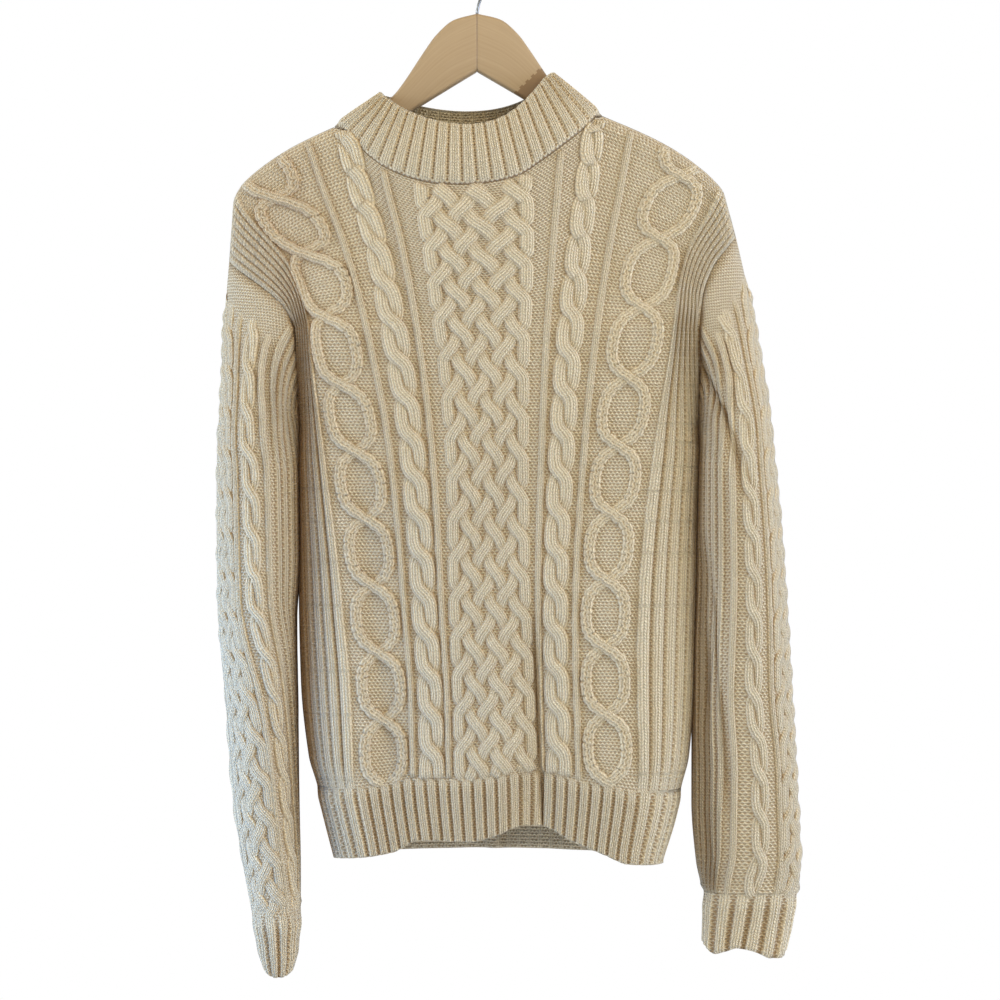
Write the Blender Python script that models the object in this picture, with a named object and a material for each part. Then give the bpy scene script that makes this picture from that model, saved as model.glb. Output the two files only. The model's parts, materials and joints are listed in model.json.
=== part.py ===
"""Cable knit sweater with a mock neck, hanging on a flat wooden hanger.

Metres, +Z up. The origin is the point inside the top of the hook where the rail touches it.
+X runs towards the wearer's left and -Y is the front. The tables are in millimetres, with
heights given as drops below the origin.

Every piece of cloth is one closed wall: its outer points follow the drape and are raised by the
knitted relief (plait, ropes, diamonds and ribs), and its inner points are plain.
"""
import math

import bmesh
import bpy
import numpy as np

MM = 0.001

# Cloth, in millimetres.
WALL = 2.8                 # thickness of the plain knitted ground
SEAM_WALL = 1.5            # thickness left at a sewn edge
SEAM_GAP = 0.4             # space between two pieces at a seam
SEAM_FADE = 9.0            # the relief dies away over this length before a seam

# Knitted relief, in millimetres.
PLAIT_STRANDS = 7
PLAIT_SPACING = 10.6       # between two strands of the plait
PLAIT_STRAND = 0.58        # half the width of a strand of a plait, as a share of their spacing
ROPE_AT = 59.0             # distance of each column from the centre of the panel
ROPE_SWING = 5.6           # how far a strand of the rope goes to each side
ROPE_STRAND = 7.0          # half the width of one strand of the rope
LINE_HALF = 4.6            # half the width of a fine rib or of a diamond's line
FINE_RIBS_AT = (43.5, 77.0)
DIAMOND_AT = 104.0
DIAMOND_REACH = 17.0       # half the widest spread of the two lines of a diamond
SIDE_RIBS_FROM = 130.0     # the side ribs run from here to the side seam
PANEL_HALF = 185.0         # half the panel's knitted width
SIDE_RIB_COUNT = 2
HEM_RIB = 11.0             # pitch of the hem ribs
COLLAR_RIBS = 46
CUFF_RIBS = 18
CABLE_RAISE = 4.2
LINE_RAISE = 2.6
RIB_RAISE = 2.0

# Drops of some numbered crossings of each cable, on the wearer's right and left. In the plait the
# strands lean one way at whole numbers, and the other way half way between.
PLAIT_ROWS = {"number": (-2, 0, 3, 6, 10, 15, 18), "drop": (172.0, 226.9, 316.3, 419.8, 562.7, 731.2, 832.0)}
ROPE_ROWS = {"number": (-2, 0, 4, 8, 15, 18),
             "right": (148.0, 207.0, 341.0, 478.0, 722.0, 826.0),
             "left": (139.0, 197.7, 333.7, 475.5, 717.0, 821.0)}
DIAMOND_ROWS = {"number": (-2, 0, 1, 3, 8, 10),
                "right": (140.0, 229.6, 279.3, 397.3, 693.7, 812.0),
                "left": (100.0, 209.0, 266.1, 391.0, 688.5, 808.0)}

# Rows of points, in millimetres along the knitting.
ROW_LEAST = 6.0            # least space between a row and the edge of its zone
ROW_TURNING = 14.0         # between rows that turn up towards the shoulders
ROW_CAP = 16.7             # between rows of a sleeve's cap

# Levels of the body: drops of the straight knitted rows, and of what bounds them.
HEM_EDGE = 815.0
HEM_TOP = 752.0
UNDERARM = 436.0
SHOULDER_ZONE = 346.0      # above this the rows turn up towards the shoulders
TOP_LEVEL = 180.0          # nominal level of the last row

# How the panel's columns fan out towards the shoulders: centre line and spread at each drop.
FAN = {"drop":   (150, 220, 274, 364, 454, 589, 679, 740, 815),
       "centre": (-8.0, -3.6, 0.9, 5.4, 9.0, 11.5, 15.3, 17.0, 19.0),
       "spread": (1.96, 1.73, 1.53, 1.29, 1.12, 0.985, 0.95, 0.95, 0.87)}

# Side seam below the underarm: x of each side at each drop.
SIDE = {"drop":  (346, 390, 436, 500, 589, 661, 729, 783, 822),
        "right": (-161.5, -159.5, -158.5, -158.5, -158.5, -156.0, -148.5, -136.0, -126.0),
        "left":  (198.0, 199.0, 199.5, 198.0, 196.0, 193.5, 188.0, 177.0, 165.0)}

# Armhole seam, from the shoulder zone's first row to the shoulder end.
ARMHOLE = {"share":      (0.0, 0.30, 0.62, 0.85, 1.0),
           "right_x":    (-161.5, -172.0, -195.0, -213.0, -223.0),
           "right_drop": (346.0, 327.0, 307.0, 294.0, 285.0),
           "left_x":     (198.0, 201.0, 211.0, 224.0, 233.0),
           "left_drop":  (346.0, 318.0, 291.0, 274.0, 263.0)}
ARMHOLE_BAND = 12.0        # least width left for the side ribs beside the armhole
# How far the armhole seam stands in front of or behind the middle, from underarm to shoulder end.
ARMHOLE_DEPTH = {"level": (180, 196, 240, 290, 346, 390, 420, 436),
                 "depth": (0.0, 13.0, 25.0, 32.0, 31.0, 22.0, 11.0, 0.0)}

# Half depth of the body at each level, front and back.
DEPTH = {"level": (346, 454, 589, 740, 815),
         "front": (39.0, 45.0, 49.0, 50.0, 45.0),
         "back":  (35.0, 41.0, 44.0, 45.0, 41.0)}
SHOULDER_DEPTH = 13.0      # half depth of the cloth where it hangs off the hanger's top edge
SHOULDER_ROLL = 12.0       # length over which it rolls across that edge

# Top edge of a panel: x of each knitted column, with the drop of the neck seam.
NECK_HALF = 64.6           # the neck runs between the columns this far from the centre
NECK_ON_WOOD = 62.0        # from here to its end the neck seam crosses over the hanger
TOP_X = {"column": (-130, -126, -111, -86, -64.6, -45, -31, 0, 20, 34, 44, 56, 64.6, 88, 102, 116, 130),
         "x": (-218.5, -215.5, -202.0, -168.0, -128.5, -87.3, -59.4, -9.9, 32.4, 57.6, 76.5, 101.0,
               113.0, 162.0, 184.5, 205.0, 220.0)}
NECK_DROP = {"column": (-62, -52, -45, -31, -16, 0, 20, 34, 44, 56, 62),
             "front": (161.9, 187.0, 200.0, 213.0, 218.5, 219.5, 213.0, 197.5, 183.5, 163.0, 152.3),
             "back": (161.9, 179.0, 187.0, 194.0, 197.0, 197.0, 192.0, 183.0, 174.0, 159.5, 152.3)}
NECK_DEPTH = {"front": 36.0, "back": 27.0}

# Drop of the hem's edge along the panel.
HEM = {"column": (-185, -107, -79, -29, -4, 25, 46, 72, 107, 133, 185),
       "front": (821.0, 812.0, 801.5, 802.0, 797.0, 788.0, 789.0, 801.0, 813.0, 822.0, 826.0),
       "back": (821.0, 818.0, 817.0, 817.0, 817.0, 817.0, 817.0, 818.0, 820.0, 823.0, 826.0)}

# Largest folds of the body: soft troughs (negative) and swells that run down a panel.
FOLDS = {"panel":  ("front", "front", "front", "front", "back", "back"),
         "x":      (54.0, -70.0, 120.0, 20.0, -60.0, 70.0),
         "top":    (560.0, 480.0, 520.0, 600.0, 480.0, 560.0),
         "bottom": (840.0, 840.0, 840.0, 840.0, 840.0, 840.0),
         "width":  (20.0, 30.0, 34.0, 24.0, 28.0, 26.0),
         "raise":  (-5.5, -5.0, 4.0, 3.0, -6.0, -5.0)}

# Collar: rim of the mock neck.
RIM_CENTRE = -9.0
RIM_HALF = 76.0
RIM_DEPTH = {"front": 34.0, "back": 25.0}
RIM_DROP = {"right": 129.5, "left": 112.5, "front": 165.0, "back": 146.0}

# Sleeves: sections down the arm. Inner and outer x, full depth, and where its middle lies.
SLEEVE = {
    "right": {"drop":   (262, 320, 365, 410, 460, 500, 589, 679, 769, 823, 873, 905, 924),
              "inner":  (-168, -164, -162.5, -161.6, -161.3, -161.3, -162.2, -163.4, -162.6, -161.5,
                         -161, -162, -166),
              "outer":  (-223.5, -226.8, -227, -228, -230, -230.4, -229.6, -222.8, -216, -208, -199,
                         -195.3, -190),
              "depth":  (46, 72, 94, 108, 114, 114, 110, 102, 92, 82, 73, 68, 62),
              "middle": (0, -1, -2, -3, -4, -5, -6, -6, -5, -4, -3, -3, -3)},
    "left": {"drop":   (240, 320, 365, 410, 460, 500, 589, 679, 769, 823, 852, 880, 905),
             "inner":  (204, 203, 202.5, 202, 201.4, 200.5, 198.5, 195.8, 195.4, 199.5, 204.7, 203.5,
                        203),
             "outer":  (235.5, 248.5, 253.5, 259.5, 264, 268.2, 275, 280.5, 285.5, 288, 285.5, 281.7,
                        276),
             "depth":  (40, 72, 94, 106, 110, 108, 98, 82, 64, 54, 44, 42, 46),
             "middle": (0, -1, -2, -3, -4, -5, -6, -7, -8, -8, -8, -8, -8)}}
CUFF_TOP = {"right": 868.0, "left": 850.0}
# The sleeve's middle line turns about the arm: angle from the inner side, down the run.
SLEEVE_LINE = {"run": (0.0, 0.03, 0.12, 0.2, 0.4, 0.55, 0.7, 1.0),
               "right": (180.0, 180.0, 157.0, 146.0, 143.0, 124.0, 112.0, 108.0),
               "left": (180.0, 180.0, 159.0, 153.0, 155.0, 155.0, 163.0, 166.0)}
SLEEVE_CAP = 460.0         # drop at which the sleeve has become a plain tube
SLEEVE_PLAIT_STRANDS = 5
SLEEVE_PLAIT_SPACING = 8.6
SLEEVE_FINE_AT = (26.0, 58.0)
SLEEVE_ROPE_AT = 42.0
SLEEVE_ROPE_SIZE = 0.72    # width of a sleeve's rope, as a share of the body's
SLEEVE_PLAIT_ROWS = {"number": (-7, 0, 20), "drop": (134.6, 385.2, 1101.2)}
SLEEVE_ROPE_ROWS = {"number": (-7, 0, 20), "drop": (134.6, 385.2, 1101.2)}
SLEEVE_RIBS_FROM = 66.0    # plain ribs from here to the underarm seam
SLEEVE_HALF = 160.0        # half the sleeve's knitted width
SLEEVE_RIB_COUNT = 2
SLEEVE_FOLDS = {"arm": ("left", "left", "right"), "angle": (62.0, 60.0, 55.0),
                "top": (360.0, 520.0, 380.0), "bottom": (500.0, 680.0, 640.0),
                "width": (16.0, 18.0, 22.0), "raise": (-9.0, -8.0, -4.0)}

# Hanger: half outline, from the joint to the tip, turned a little about the hook.
HANGER = {"reach":  (0.0, 20.7, 36.9, 46.8, 55.8, 64.8, 73.8, 87.3, 105.3, 118.8, 135, 169, 203,
                     210, 214),
          "top":    (62.0, 67.4, 80.9, 94.4, 107.9, 121.4, 133.1, 145.0, 155.5, 161.8, 168.6, 185.2,
                     208.5, 215.0, 221.0),
          "bottom": (114.2, 126.5, 136.2, 142.1, 147.5, 153.2, 158.8, 167.2, 176.5, 183.2, 191.2, 207.6,
                     229.0, 232.0, 229.5)}
HANGER_TILT = 0.013        # rise towards the wearer's left, per unit of reach
HANGER_THICK = 11.0
HANGER_EDGE = 3.6          # rounding of the wood's long edges
HANGER_JOINT = 0.3         # glue line between the two halves
CLOTH_ON_WOOD = 0.5        # air between the wood's top edge and the cloth's plain inside

# Hook: bent wire.
WIRE = 2.7
HOOK_INSIDE = 19.0         # inside radius of the bend
HOOK_SIDES = 8
HOOK_SINK = 0.35           # air between the wire's foot and the wood

COLOURS = {"wool": (0.70, 0.62, 0.47, 1.0), "wood": (0.62, 0.44, 0.24, 1.0),
           "steel": (0.33, 0.33, 0.33, 1.0)}


# ---------------------------------------------------------------- curves through tables

def through(knots, values, at):
    """Smooth curve through a table that never swings past its values."""
    knots = np.asarray(knots, float)
    values = np.asarray(values, float)
    at = np.clip(np.asarray(at, float), knots[0], knots[-1])
    step = np.diff(knots)
    slope = np.diff(values) / step
    before, after = slope[:-1], slope[1:]
    tangent = np.concatenate(([slope[0]], np.zeros(len(before)), [slope[-1]]))
    same = before * after > 1e-12
    far, near = 2 * step[1:] + step[:-1], step[1:] + 2 * step[:-1]
    safe_before = np.where(same, before, 1.0)
    safe_after = np.where(same, after, 1.0)
    mean = (far + near) / (far / safe_before + near / safe_after)
    tangent[1:-1] = np.where(same, mean, 0.0)
    span = np.clip(np.searchsorted(knots, at, side="right") - 1, 0, len(step) - 1)
    t = (at - knots[span]) / step[span]
    low, high = values[span], values[span + 1]
    start, end = tangent[span] * step[span], tangent[span + 1] * step[span]
    return (low * (1 + 2 * t) * (1 - t) ** 2 + start * t * (1 - t) ** 2
            + high * t * t * (3 - 2 * t) + end * t * t * (t - 1))


def ease(low, high, value):
    """Nought below low, one above high, and smooth between them."""
    t = np.clip((np.asarray(value, float) - low) / (high - low), 0.0, 1.0)
    return t * t * (3 - 2 * t)


def bump(distance, radius):
    """Round section of a strand: one on its middle line, nought at its edge."""
    return np.sqrt(np.clip(1 - (np.asarray(distance) / radius) ** 2, 0.0, 1.0))


# ---------------------------------------------------------------- knitted relief

def crossings(table, drop, side="drop"):
    """Count of a cable's crossings down to this drop, with the part done of the next."""
    return through(table[side], table["number"], drop)


def crossings_beside(table, column, drop):
    """Count of crossings for a cable that is knitted on both sides of the middle."""
    return np.where(column < 0, crossings(table, drop, "right"), crossings(table, drop, "left"))


def rope_relief(across, crossed, size=1.0):
    """Two strands that pass over each other at each crossing, always the same way."""
    raised = np.zeros(np.broadcast(across, crossed).shape)
    for strand in (0, 1):
        turn = math.pi * (crossed + 0.5 + strand)
        height = 0.72 + 0.28 * np.sin(turn)
        middle = -ROPE_SWING * size * np.cos(turn)
        raised = np.maximum(raised, height * bump(across - middle, ROPE_STRAND * size))
    return CABLE_RAISE * raised


def plait_relief(across, crossed, strands, spacing):
    """Strands that cross in pairs: one row leans one way, the next row leans the other way."""
    across, crossed = np.broadcast_arrays(np.asarray(across, float), crossed)
    row = np.floor(2 * crossed + 0.5).astype(int)
    part = 2 * crossed + 0.5 - row
    shift = ease(0.1, 0.9, part)
    odd = row % 2
    raised = np.zeros(across.shape)
    for slot in range(strands):
        first = (slot - odd) % 2 == 1
        partner = np.where(first, slot + 1, slot - 1)
        alone = (partner < 0) | (partner >= strands)
        moved = np.where(alone, slot, slot + (partner - slot) * shift)
        lean = np.where(first, 1, -1) * np.where(odd == 0, 1, -1)
        height = np.where(alone, 0.75, 0.72 + 0.28 * lean * np.sin(math.pi * part))
        middle = (moved - (strands - 1) / 2) * spacing
        raised = np.maximum(raised, height * bump(across - middle, PLAIT_STRAND * spacing))
    return CABLE_RAISE * raised


def diamond_relief(across, crossed):
    """Two lines of stitches that part and meet again."""
    spread = DIAMOND_REACH * np.abs(np.sin(math.pi * crossed)) ** 0.8
    lines = np.maximum(bump(across - spread, LINE_HALF), bump(across + spread, LINE_HALF))
    return LINE_RAISE * lines


def body_relief(column, drop):
    """Height of the knitted relief on a body panel."""
    away = np.abs(column)
    side = np.sign(column)
    raised = plait_relief(column, crossings(PLAIT_ROWS, drop), PLAIT_STRANDS, PLAIT_SPACING)
    twisted = rope_relief(side * (away - ROPE_AT), crossings_beside(ROPE_ROWS, column, drop))
    raised = np.maximum(raised, twisted)
    for place in FINE_RIBS_AT:
        raised = np.maximum(raised, LINE_RAISE * bump(away - place, LINE_HALF))
    lines = diamond_relief(away - DIAMOND_AT, crossings_beside(DIAMOND_ROWS, column, drop))
    raised = np.maximum(raised, lines)
    width = (PANEL_HALF - SIDE_RIBS_FROM) / SIDE_RIB_COUNT
    turns = (away - SIDE_RIBS_FROM) / width
    ribs = RIB_RAISE * (0.5 - 0.5 * np.cos(2 * math.pi * turns))
    return np.where(away > SIDE_RIBS_FROM, ribs, raised)


def sleeve_relief(column, drop):
    """Height of the knitted relief on a sleeve, by columns from its middle line."""
    away = np.abs(column)
    side = np.sign(column)
    raised = plait_relief(column, crossings(SLEEVE_PLAIT_ROWS, drop), SLEEVE_PLAIT_STRANDS,
                          SLEEVE_PLAIT_SPACING)
    twisted = rope_relief(side * (away - SLEEVE_ROPE_AT), crossings(SLEEVE_ROPE_ROWS, drop),
                          SLEEVE_ROPE_SIZE)
    raised = np.maximum(raised, twisted)
    for place in SLEEVE_FINE_AT:
        raised = np.maximum(raised, LINE_RAISE * bump(away - place, LINE_HALF))
    turns = (away - SLEEVE_RIBS_FROM) / (SLEEVE_HALF - SLEEVE_RIBS_FROM) * (SLEEVE_RIB_COUNT + 0.5)
    ribs = RIB_RAISE * (0.5 - 0.5 * np.cos(2 * math.pi * turns))
    return np.where(away > SLEEVE_RIBS_FROM, ribs, raised)


# ---------------------------------------------------------------- hanger outline

def hanger_edge(x, edge):
    """Drop of the hanger's top or bottom edge at x."""
    return through(HANGER["reach"], HANGER[edge], np.abs(x)) - HANGER_TILT * np.asarray(x)


# ---------------------------------------------------------------- body panels

def shoulder_share(level):
    """How far a row has turned up towards the shoulders: nought at the chest, one at the top."""
    return np.clip((SHOULDER_ZONE - level) / (SHOULDER_ZONE - TOP_LEVEL), 0.0, 1.0)


def top_edge(column, panel):
    """Front view of the panel's last row: along the hanger, and down round the neck."""
    x = through(TOP_X["column"], TOP_X["x"], column)
    on_hanger = hanger_edge(x, "top") - CLOTH_ON_WOOD - WALL * 1.16
    neck = through(NECK_DROP["column"], NECK_DROP[panel], column)
    return x, np.where(np.abs(column) < NECK_ON_WOOD, neck, on_hanger)


def inner_column(column, level, panel):
    """Front view of a column between the two bands of side ribs."""
    share = shoulder_share(level)
    top_x, top_drop = top_edge(column, panel)
    hem = through(HEM["column"], HEM[panel], column) - HEM_EDGE
    low = np.maximum(level, SHOULDER_ZONE) + hem * ease(HEM_TOP - 60, HEM_EDGE, level)
    drop = low + (top_drop - SHOULDER_ZONE) * share
    centre = through(FAN["drop"], FAN["centre"], drop)
    spread = through(FAN["drop"], FAN["spread"], drop)
    x = centre + column * spread
    top_centre = through(FAN["drop"], FAN["centre"], top_drop)
    top_spread = through(FAN["drop"], FAN["spread"], top_drop)
    x = x + (top_x - top_centre - column * top_spread) * share
    return x, drop


def seam_line(level, arm, panel):
    """Front view of the side seam and, above the underarm, of the armhole seam."""
    share = shoulder_share(level)
    hem = through(HEM["column"], HEM[panel], PANEL_HALF) - HEM_EDGE
    if arm == "right":
        hem = through(HEM["column"], HEM[panel], -PANEL_HALF) - HEM_EDGE
    low = np.maximum(level, SHOULDER_ZONE) + hem * ease(HEM_TOP - 60, HEM_EDGE, level)
    x = np.where(share > 0, through(ARMHOLE["share"], ARMHOLE[arm + "_x"], share),
                 through(SIDE["drop"], SIDE[arm], low))
    drop = np.where(share > 0, through(ARMHOLE["share"], ARMHOLE[arm + "_drop"], share), low)
    return x, drop


def folds(panel, x, drop):
    """Soft troughs and swells of the body, by hand."""
    raised = np.zeros(np.broadcast(x, drop).shape)
    for where, middle, top, bottom, width, height in zip(*FOLDS.values()):
        if where == panel:
            run = ease(top, top + 90, drop) * (1 - ease(bottom, bottom + 60, drop))
            raised = raised + height * run * np.exp(-((x - middle) / width) ** 2)
    return raised


def panel_depth(column, level, panel):
    """How far an inner column stands in front of or behind the middle plane."""
    share = shoulder_share(level)
    chest = through(DEPTH["level"], DEPTH[panel], np.maximum(level, SHOULDER_ZONE))
    neck = NECK_DEPTH[panel] * np.sqrt(np.clip(1 - (column / NECK_HALF) ** 2, 0, 1))
    top = np.maximum(SHOULDER_DEPTH, neck)
    depth = chest + (top - chest) * share ** 0.8
    x, drop = inner_column(column, level, panel)
    top_x, top_drop = top_edge(column, panel)
    below = np.hypot(x - top_x, drop - top_drop)
    rolled = bump(1 - np.clip(below / SHOULDER_ROLL, 0, 1), 1.0)
    over = ease(NECK_ON_WOOD, NECK_HALF, np.abs(column))
    return depth * (1 + (rolled - 1) * over) + folds(panel, x, drop)


def between_seams(x, drop, level, right_x, left_x):
    """Draws the outermost columns closer together where the armholes cut into the panel."""
    centre = through(FAN["drop"], FAN["centre"], drop)
    side = np.where(x < centre, -1.0, 1.0)
    seam = np.where(x < centre, right_x, left_x)
    room = side * (seam - centre) - ARMHOLE_BAND
    free = 0.8 * room
    away = side * (x - centre)
    drawn = free + (room - free) * np.tanh((away - free) / (room - free))
    share = 1 - ease(0.45, 0.95, shoulder_share(level))
    return x + side * np.where(away > free, drawn - away, 0.0) * share


def panel_ground(column, level, panel):
    """Outer ground surface of a panel, before its relief. Returns points in millimetres."""
    column, level = np.broadcast_arrays(np.asarray(column, float), np.asarray(level, float))
    flat = np.clip(column, -SIDE_RIBS_FROM, SIDE_RIBS_FROM)
    x, drop = inner_column(flat, level, panel)
    right = seam_line(level, "right", panel)
    left = seam_line(level, "left", panel)
    x = between_seams(x, drop, level, right[0], left[0])
    depth = panel_depth(flat, level, panel)
    turn = np.clip((np.abs(column) - SIDE_RIBS_FROM) / (PANEL_HALF - SIDE_RIBS_FROM), 0, 1)
    arm = ease(UNDERARM + 30, SHOULDER_ZONE, level)
    # Below the underarm the side is a quarter round; beside the armhole it is flat.
    sideways = (1 - np.sin(turn * math.pi / 2)) * (1 - arm) + (1 - turn) * arm
    outwards = np.cos(turn * math.pi / 2) * (1 - arm) + (1 - turn) * arm
    seam_x = np.where(column < 0, right[0], left[0])
    seam_drop = np.where(column < 0, right[1], left[1])
    seam_depth = through(ARMHOLE_DEPTH["level"], ARMHOLE_DEPTH["depth"], level)
    x = seam_x + (x - seam_x) * sideways
    drop = seam_drop + (drop - seam_drop) * (1 - turn)
    depth = seam_depth + (depth - seam_depth) * outwards
    way = -1.0 if panel == "front" else 1.0
    return np.stack((x, way * (depth + SEAM_GAP / 2), -drop), axis=-1)


def unit(vectors):
    """The same vectors, one long."""
    return vectors / np.maximum(np.linalg.norm(vectors, axis=-1, keepdims=True), 1e-9)


def lengths(line):
    """Distance along a line of points from its start to each point."""
    return np.concatenate(([0.0], np.cumsum(np.linalg.norm(np.diff(line, axis=0), axis=1))))


def closed_loop(front, back):
    """Joins a front line and a back line, which share both ends in the middle plane."""
    front = front.copy()
    front[[0, -1], 1] = 0.0
    return np.concatenate((front, back[::-1][1:-1]))


def seam_ways(points, out, away, other_out, other_away, middle):
    """At a seam of two walls: its points, the way into both walls and the way between them."""
    inward = -(out + other_out)
    apart = unit(other_away) - unit(away)
    for ways in (inward, apart):
        ways[list(middle), 1] = 0.0
    return points, unit(inward), unit(apart)


def panel_normal(column, level, panel):
    """Outward unit normal of a panel's ground."""
    column = np.clip(column, -PANEL_HALF + 0.5, PANEL_HALF - 0.5)
    level = np.clip(level, TOP_LEVEL + 0.6, HEM_EDGE - 0.6)
    step = 0.4
    across = panel_ground(column + step, level, panel) - panel_ground(column - step, level, panel)
    along = panel_ground(column, level + step, panel) - panel_ground(column, level - step, panel)
    return unit(np.cross(across, along)) * (-1.0 if panel == "front" else 1.0)


def panel_point(column, level, panel, raise_relief=True, inside=0.0):
    """Point of a panel: raised by the knitting outside, or set in by the wall's thickness."""
    column, level = np.broadcast_arrays(np.asarray(column, float), np.asarray(level, float))
    ground = panel_ground(column, level, panel)
    way = -1.0 if panel == "front" else 1.0
    out = panel_normal(column, level, panel)
    if raise_relief:
        edge = np.minimum(PANEL_HALF - np.abs(column), (level - TOP_LEVEL) * 0.9)
        fade = ease(0.0, SEAM_FADE, edge)
        knitted = body_relief(column, -ground[..., 2])
        ribs = RIB_RAISE * (0.5 - 0.5 * np.cos(2 * math.pi * column / HEM_RIB))
        in_hem = ease(HEM_TOP - 4, HEM_TOP + 2, level)
        near_arm = 1 - 0.7 * ease(150, 180, np.abs(column)) * (1 - ease(660, 740, level))
        moved = (knitted * (1 - in_hem) + ribs * in_hem) * fade * near_arm
    else:
        moved = -np.asarray(inside, float) * np.ones(column.shape)
    place = ground + out * moved[..., None]
    place[..., 1] = way * np.maximum(way * place[..., 1], SEAM_GAP / 2)
    return place


def seam_wall(column, level):
    """Thickness of a panel's wall: full inside the panel, thinner at its sewn edges."""
    near_edge = np.minimum(PANEL_HALF - np.abs(column), (level - TOP_LEVEL) * 0.9)
    return SEAM_WALL + (WALL - SEAM_WALL) * ease(0.0, 10.0, near_edge)


# ---------------------------------------------------------------- collar

def neck_shares(columns):
    """Share of the way round of each point of neck_loop: half for the front, half for the back."""
    found = []
    for panel, start in (("front", 0.0), ("back", 0.5)):
        fine = np.linspace(-NECK_HALF, NECK_HALF, 241)
        line = lengths(panel_ground(fine, TOP_LEVEL, panel))
        at = np.interp(columns, fine, line) / line[-1] / 2
        found.append(at if panel == "front" else start + (0.5 - at[::-1])[1:-1])
    return np.concatenate(found)


def neck_seam(share):
    """Neck seam at a share of the way round."""
    fine = np.linspace(-NECK_HALF, NECK_HALF, 241)
    place = np.append(neck_shares(fine), 1.0)
    loop = closed_loop(panel_ground(fine, TOP_LEVEL, "front"), panel_ground(fine, TOP_LEVEL, "back"))
    loop = np.concatenate((loop, loop[:1]))
    share = np.asarray(share, float) % 1.0
    return np.stack([np.interp(share, place, loop[:, k]) for k in range(3)], axis=-1)


def collar_rim(share):
    """Rim of the collar, with the same shares as the neck seam."""
    angle = np.asarray(share, float) * 2 * math.pi
    facing = np.sin(angle)                     # one at the front, minus one at the back
    sideways = -np.cos(angle)                  # minus one on the wearer's right
    x = RIM_CENTRE + RIM_HALF * sideways
    depth = np.where(facing > 0, RIM_DEPTH["front"], RIM_DEPTH["back"])
    depth = depth * np.sign(facing) * np.abs(facing) ** 0.7
    side_drop = (RIM_DROP["right"] * (1 - sideways) + RIM_DROP["left"] * (1 + sideways)) / 2
    low = np.where(facing > 0, RIM_DROP["front"], RIM_DROP["back"])
    drop = side_drop + (low - side_drop) * np.abs(facing) ** 1.3
    return np.stack((x, -depth, -drop), axis=-1)


def collar_ground(share, height):
    """Outer ground surface of the collar; height runs from 0 at the seam to 1 at the rim."""
    height = np.asarray(height, float)[..., None]
    seam, rim = neck_seam(share), collar_rim(share)
    swell = 4.0 * np.sin(math.pi * height)
    away = (seam + rim) / 2 - np.array([RIM_CENTRE, 0.0, 0.0])
    away = away * np.array([0.0, 1.0, 0.0])
    away = away / np.maximum(np.linalg.norm(away, axis=-1, keepdims=True), 8.0)
    return seam + (rim - seam) * height + away * swell


def collar_frame(share, height):
    """Unit vectors of the collar's surface: upwards along it, and out of it."""
    low = np.clip(height, 0.03, 0.97)
    across = collar_ground(share + 0.004, low) - collar_ground(share - 0.004, low)
    along = collar_ground(share, low + 0.02) - collar_ground(share, low - 0.02)
    return unit(along), unit(np.cross(across, along))


def collar_point(share, height, raise_relief=True, inside=0.0):
    """Point of the collar, raised by its ribs or set in by its wall."""
    share, height = np.broadcast_arrays(np.asarray(share, float), np.asarray(height, float))
    up, out = collar_frame(share, height)
    ground = collar_ground(share, height) + up * (SEAM_GAP * (1 - height))[..., None]
    ribs = RIB_RAISE * (0.5 - 0.5 * np.cos(2 * math.pi * share * COLLAR_RIBS))
    moved = ribs * ease(0.0, 0.26, height) if raise_relief else -inside * np.ones(share.shape)
    return ground + out * moved[..., None]


def neck_edge(columns, panel):
    """Neck edge of a panel: its points, the way into the wall and the way to the collar."""
    points = panel_ground(columns, TOP_LEVEL, panel)
    below = unit(panel_ground(columns, TOP_LEVEL + 3, panel) - points)
    out = panel_normal(columns, TOP_LEVEL, panel)
    shares_all = neck_shares(columns)
    front = len(columns)
    share = shares_all[:front]
    if panel == "back":
        share = np.concatenate(([1.0], shares_all[front:][::-1], [0.5]))
    up, collar_out = collar_frame(share, np.zeros(front))
    return seam_ways(points, out, below, collar_out, up, (0, -1))


def collar_start(columns, inside):
    """First row of the collar: the neck edge of the panels, moved off by the seam's gap."""
    sides = []
    for panel in ("front", "back"):
        points, inward, apart = neck_edge(columns, panel)
        sides.append(points + inward * inside + apart * SEAM_GAP)
    return closed_loop(*sides)


# ---------------------------------------------------------------- sleeves

def tube(angle, drop, arm, inset=0.0):
    """Section of a sleeve as a tube: angle 0 faces the body, 90 degrees the front."""
    table = SLEEVE[arm]
    inner = through(table["drop"], table["inner"], drop)
    outer = through(table["drop"], table["outer"], drop)
    wide = np.abs(inner - outer) / 2 - inset
    deep = through(table["drop"], table["depth"], drop) / 2 - inset
    middle = through(table["drop"], table["middle"], drop)
    cos, sin = np.cos(angle), np.sin(angle)
    to_body = 1.0 if arm == "right" else -1.0
    x = (inner + outer) / 2 + to_body * wide * np.sign(cos) * np.abs(cos) ** 0.85
    y = middle - deep * np.sign(sin) * np.abs(sin) ** 0.92
    return np.stack(np.broadcast_arrays(x, y, -np.asarray(drop, float)), axis=-1)


def edge_column(arm):
    """Last column of a panel on the side of this arm."""
    return -PANEL_HALF if arm == "right" else PANEL_HALF


def armhole_angles(levels, arm):
    """Angle of each point of the armhole: half a turn up the front, half down the back."""
    fine = np.linspace(UNDERARM, TOP_LEVEL, 181)
    found = []
    for panel in ("front", "back"):
        line = lengths(panel_ground(edge_column(arm), fine, panel))
        at = np.interp(-levels, -fine, line) / line[-1] * math.pi
        found.append(at if panel == "front" else (2 * math.pi - at[::-1])[1:-1])
    return np.concatenate(found)


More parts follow.
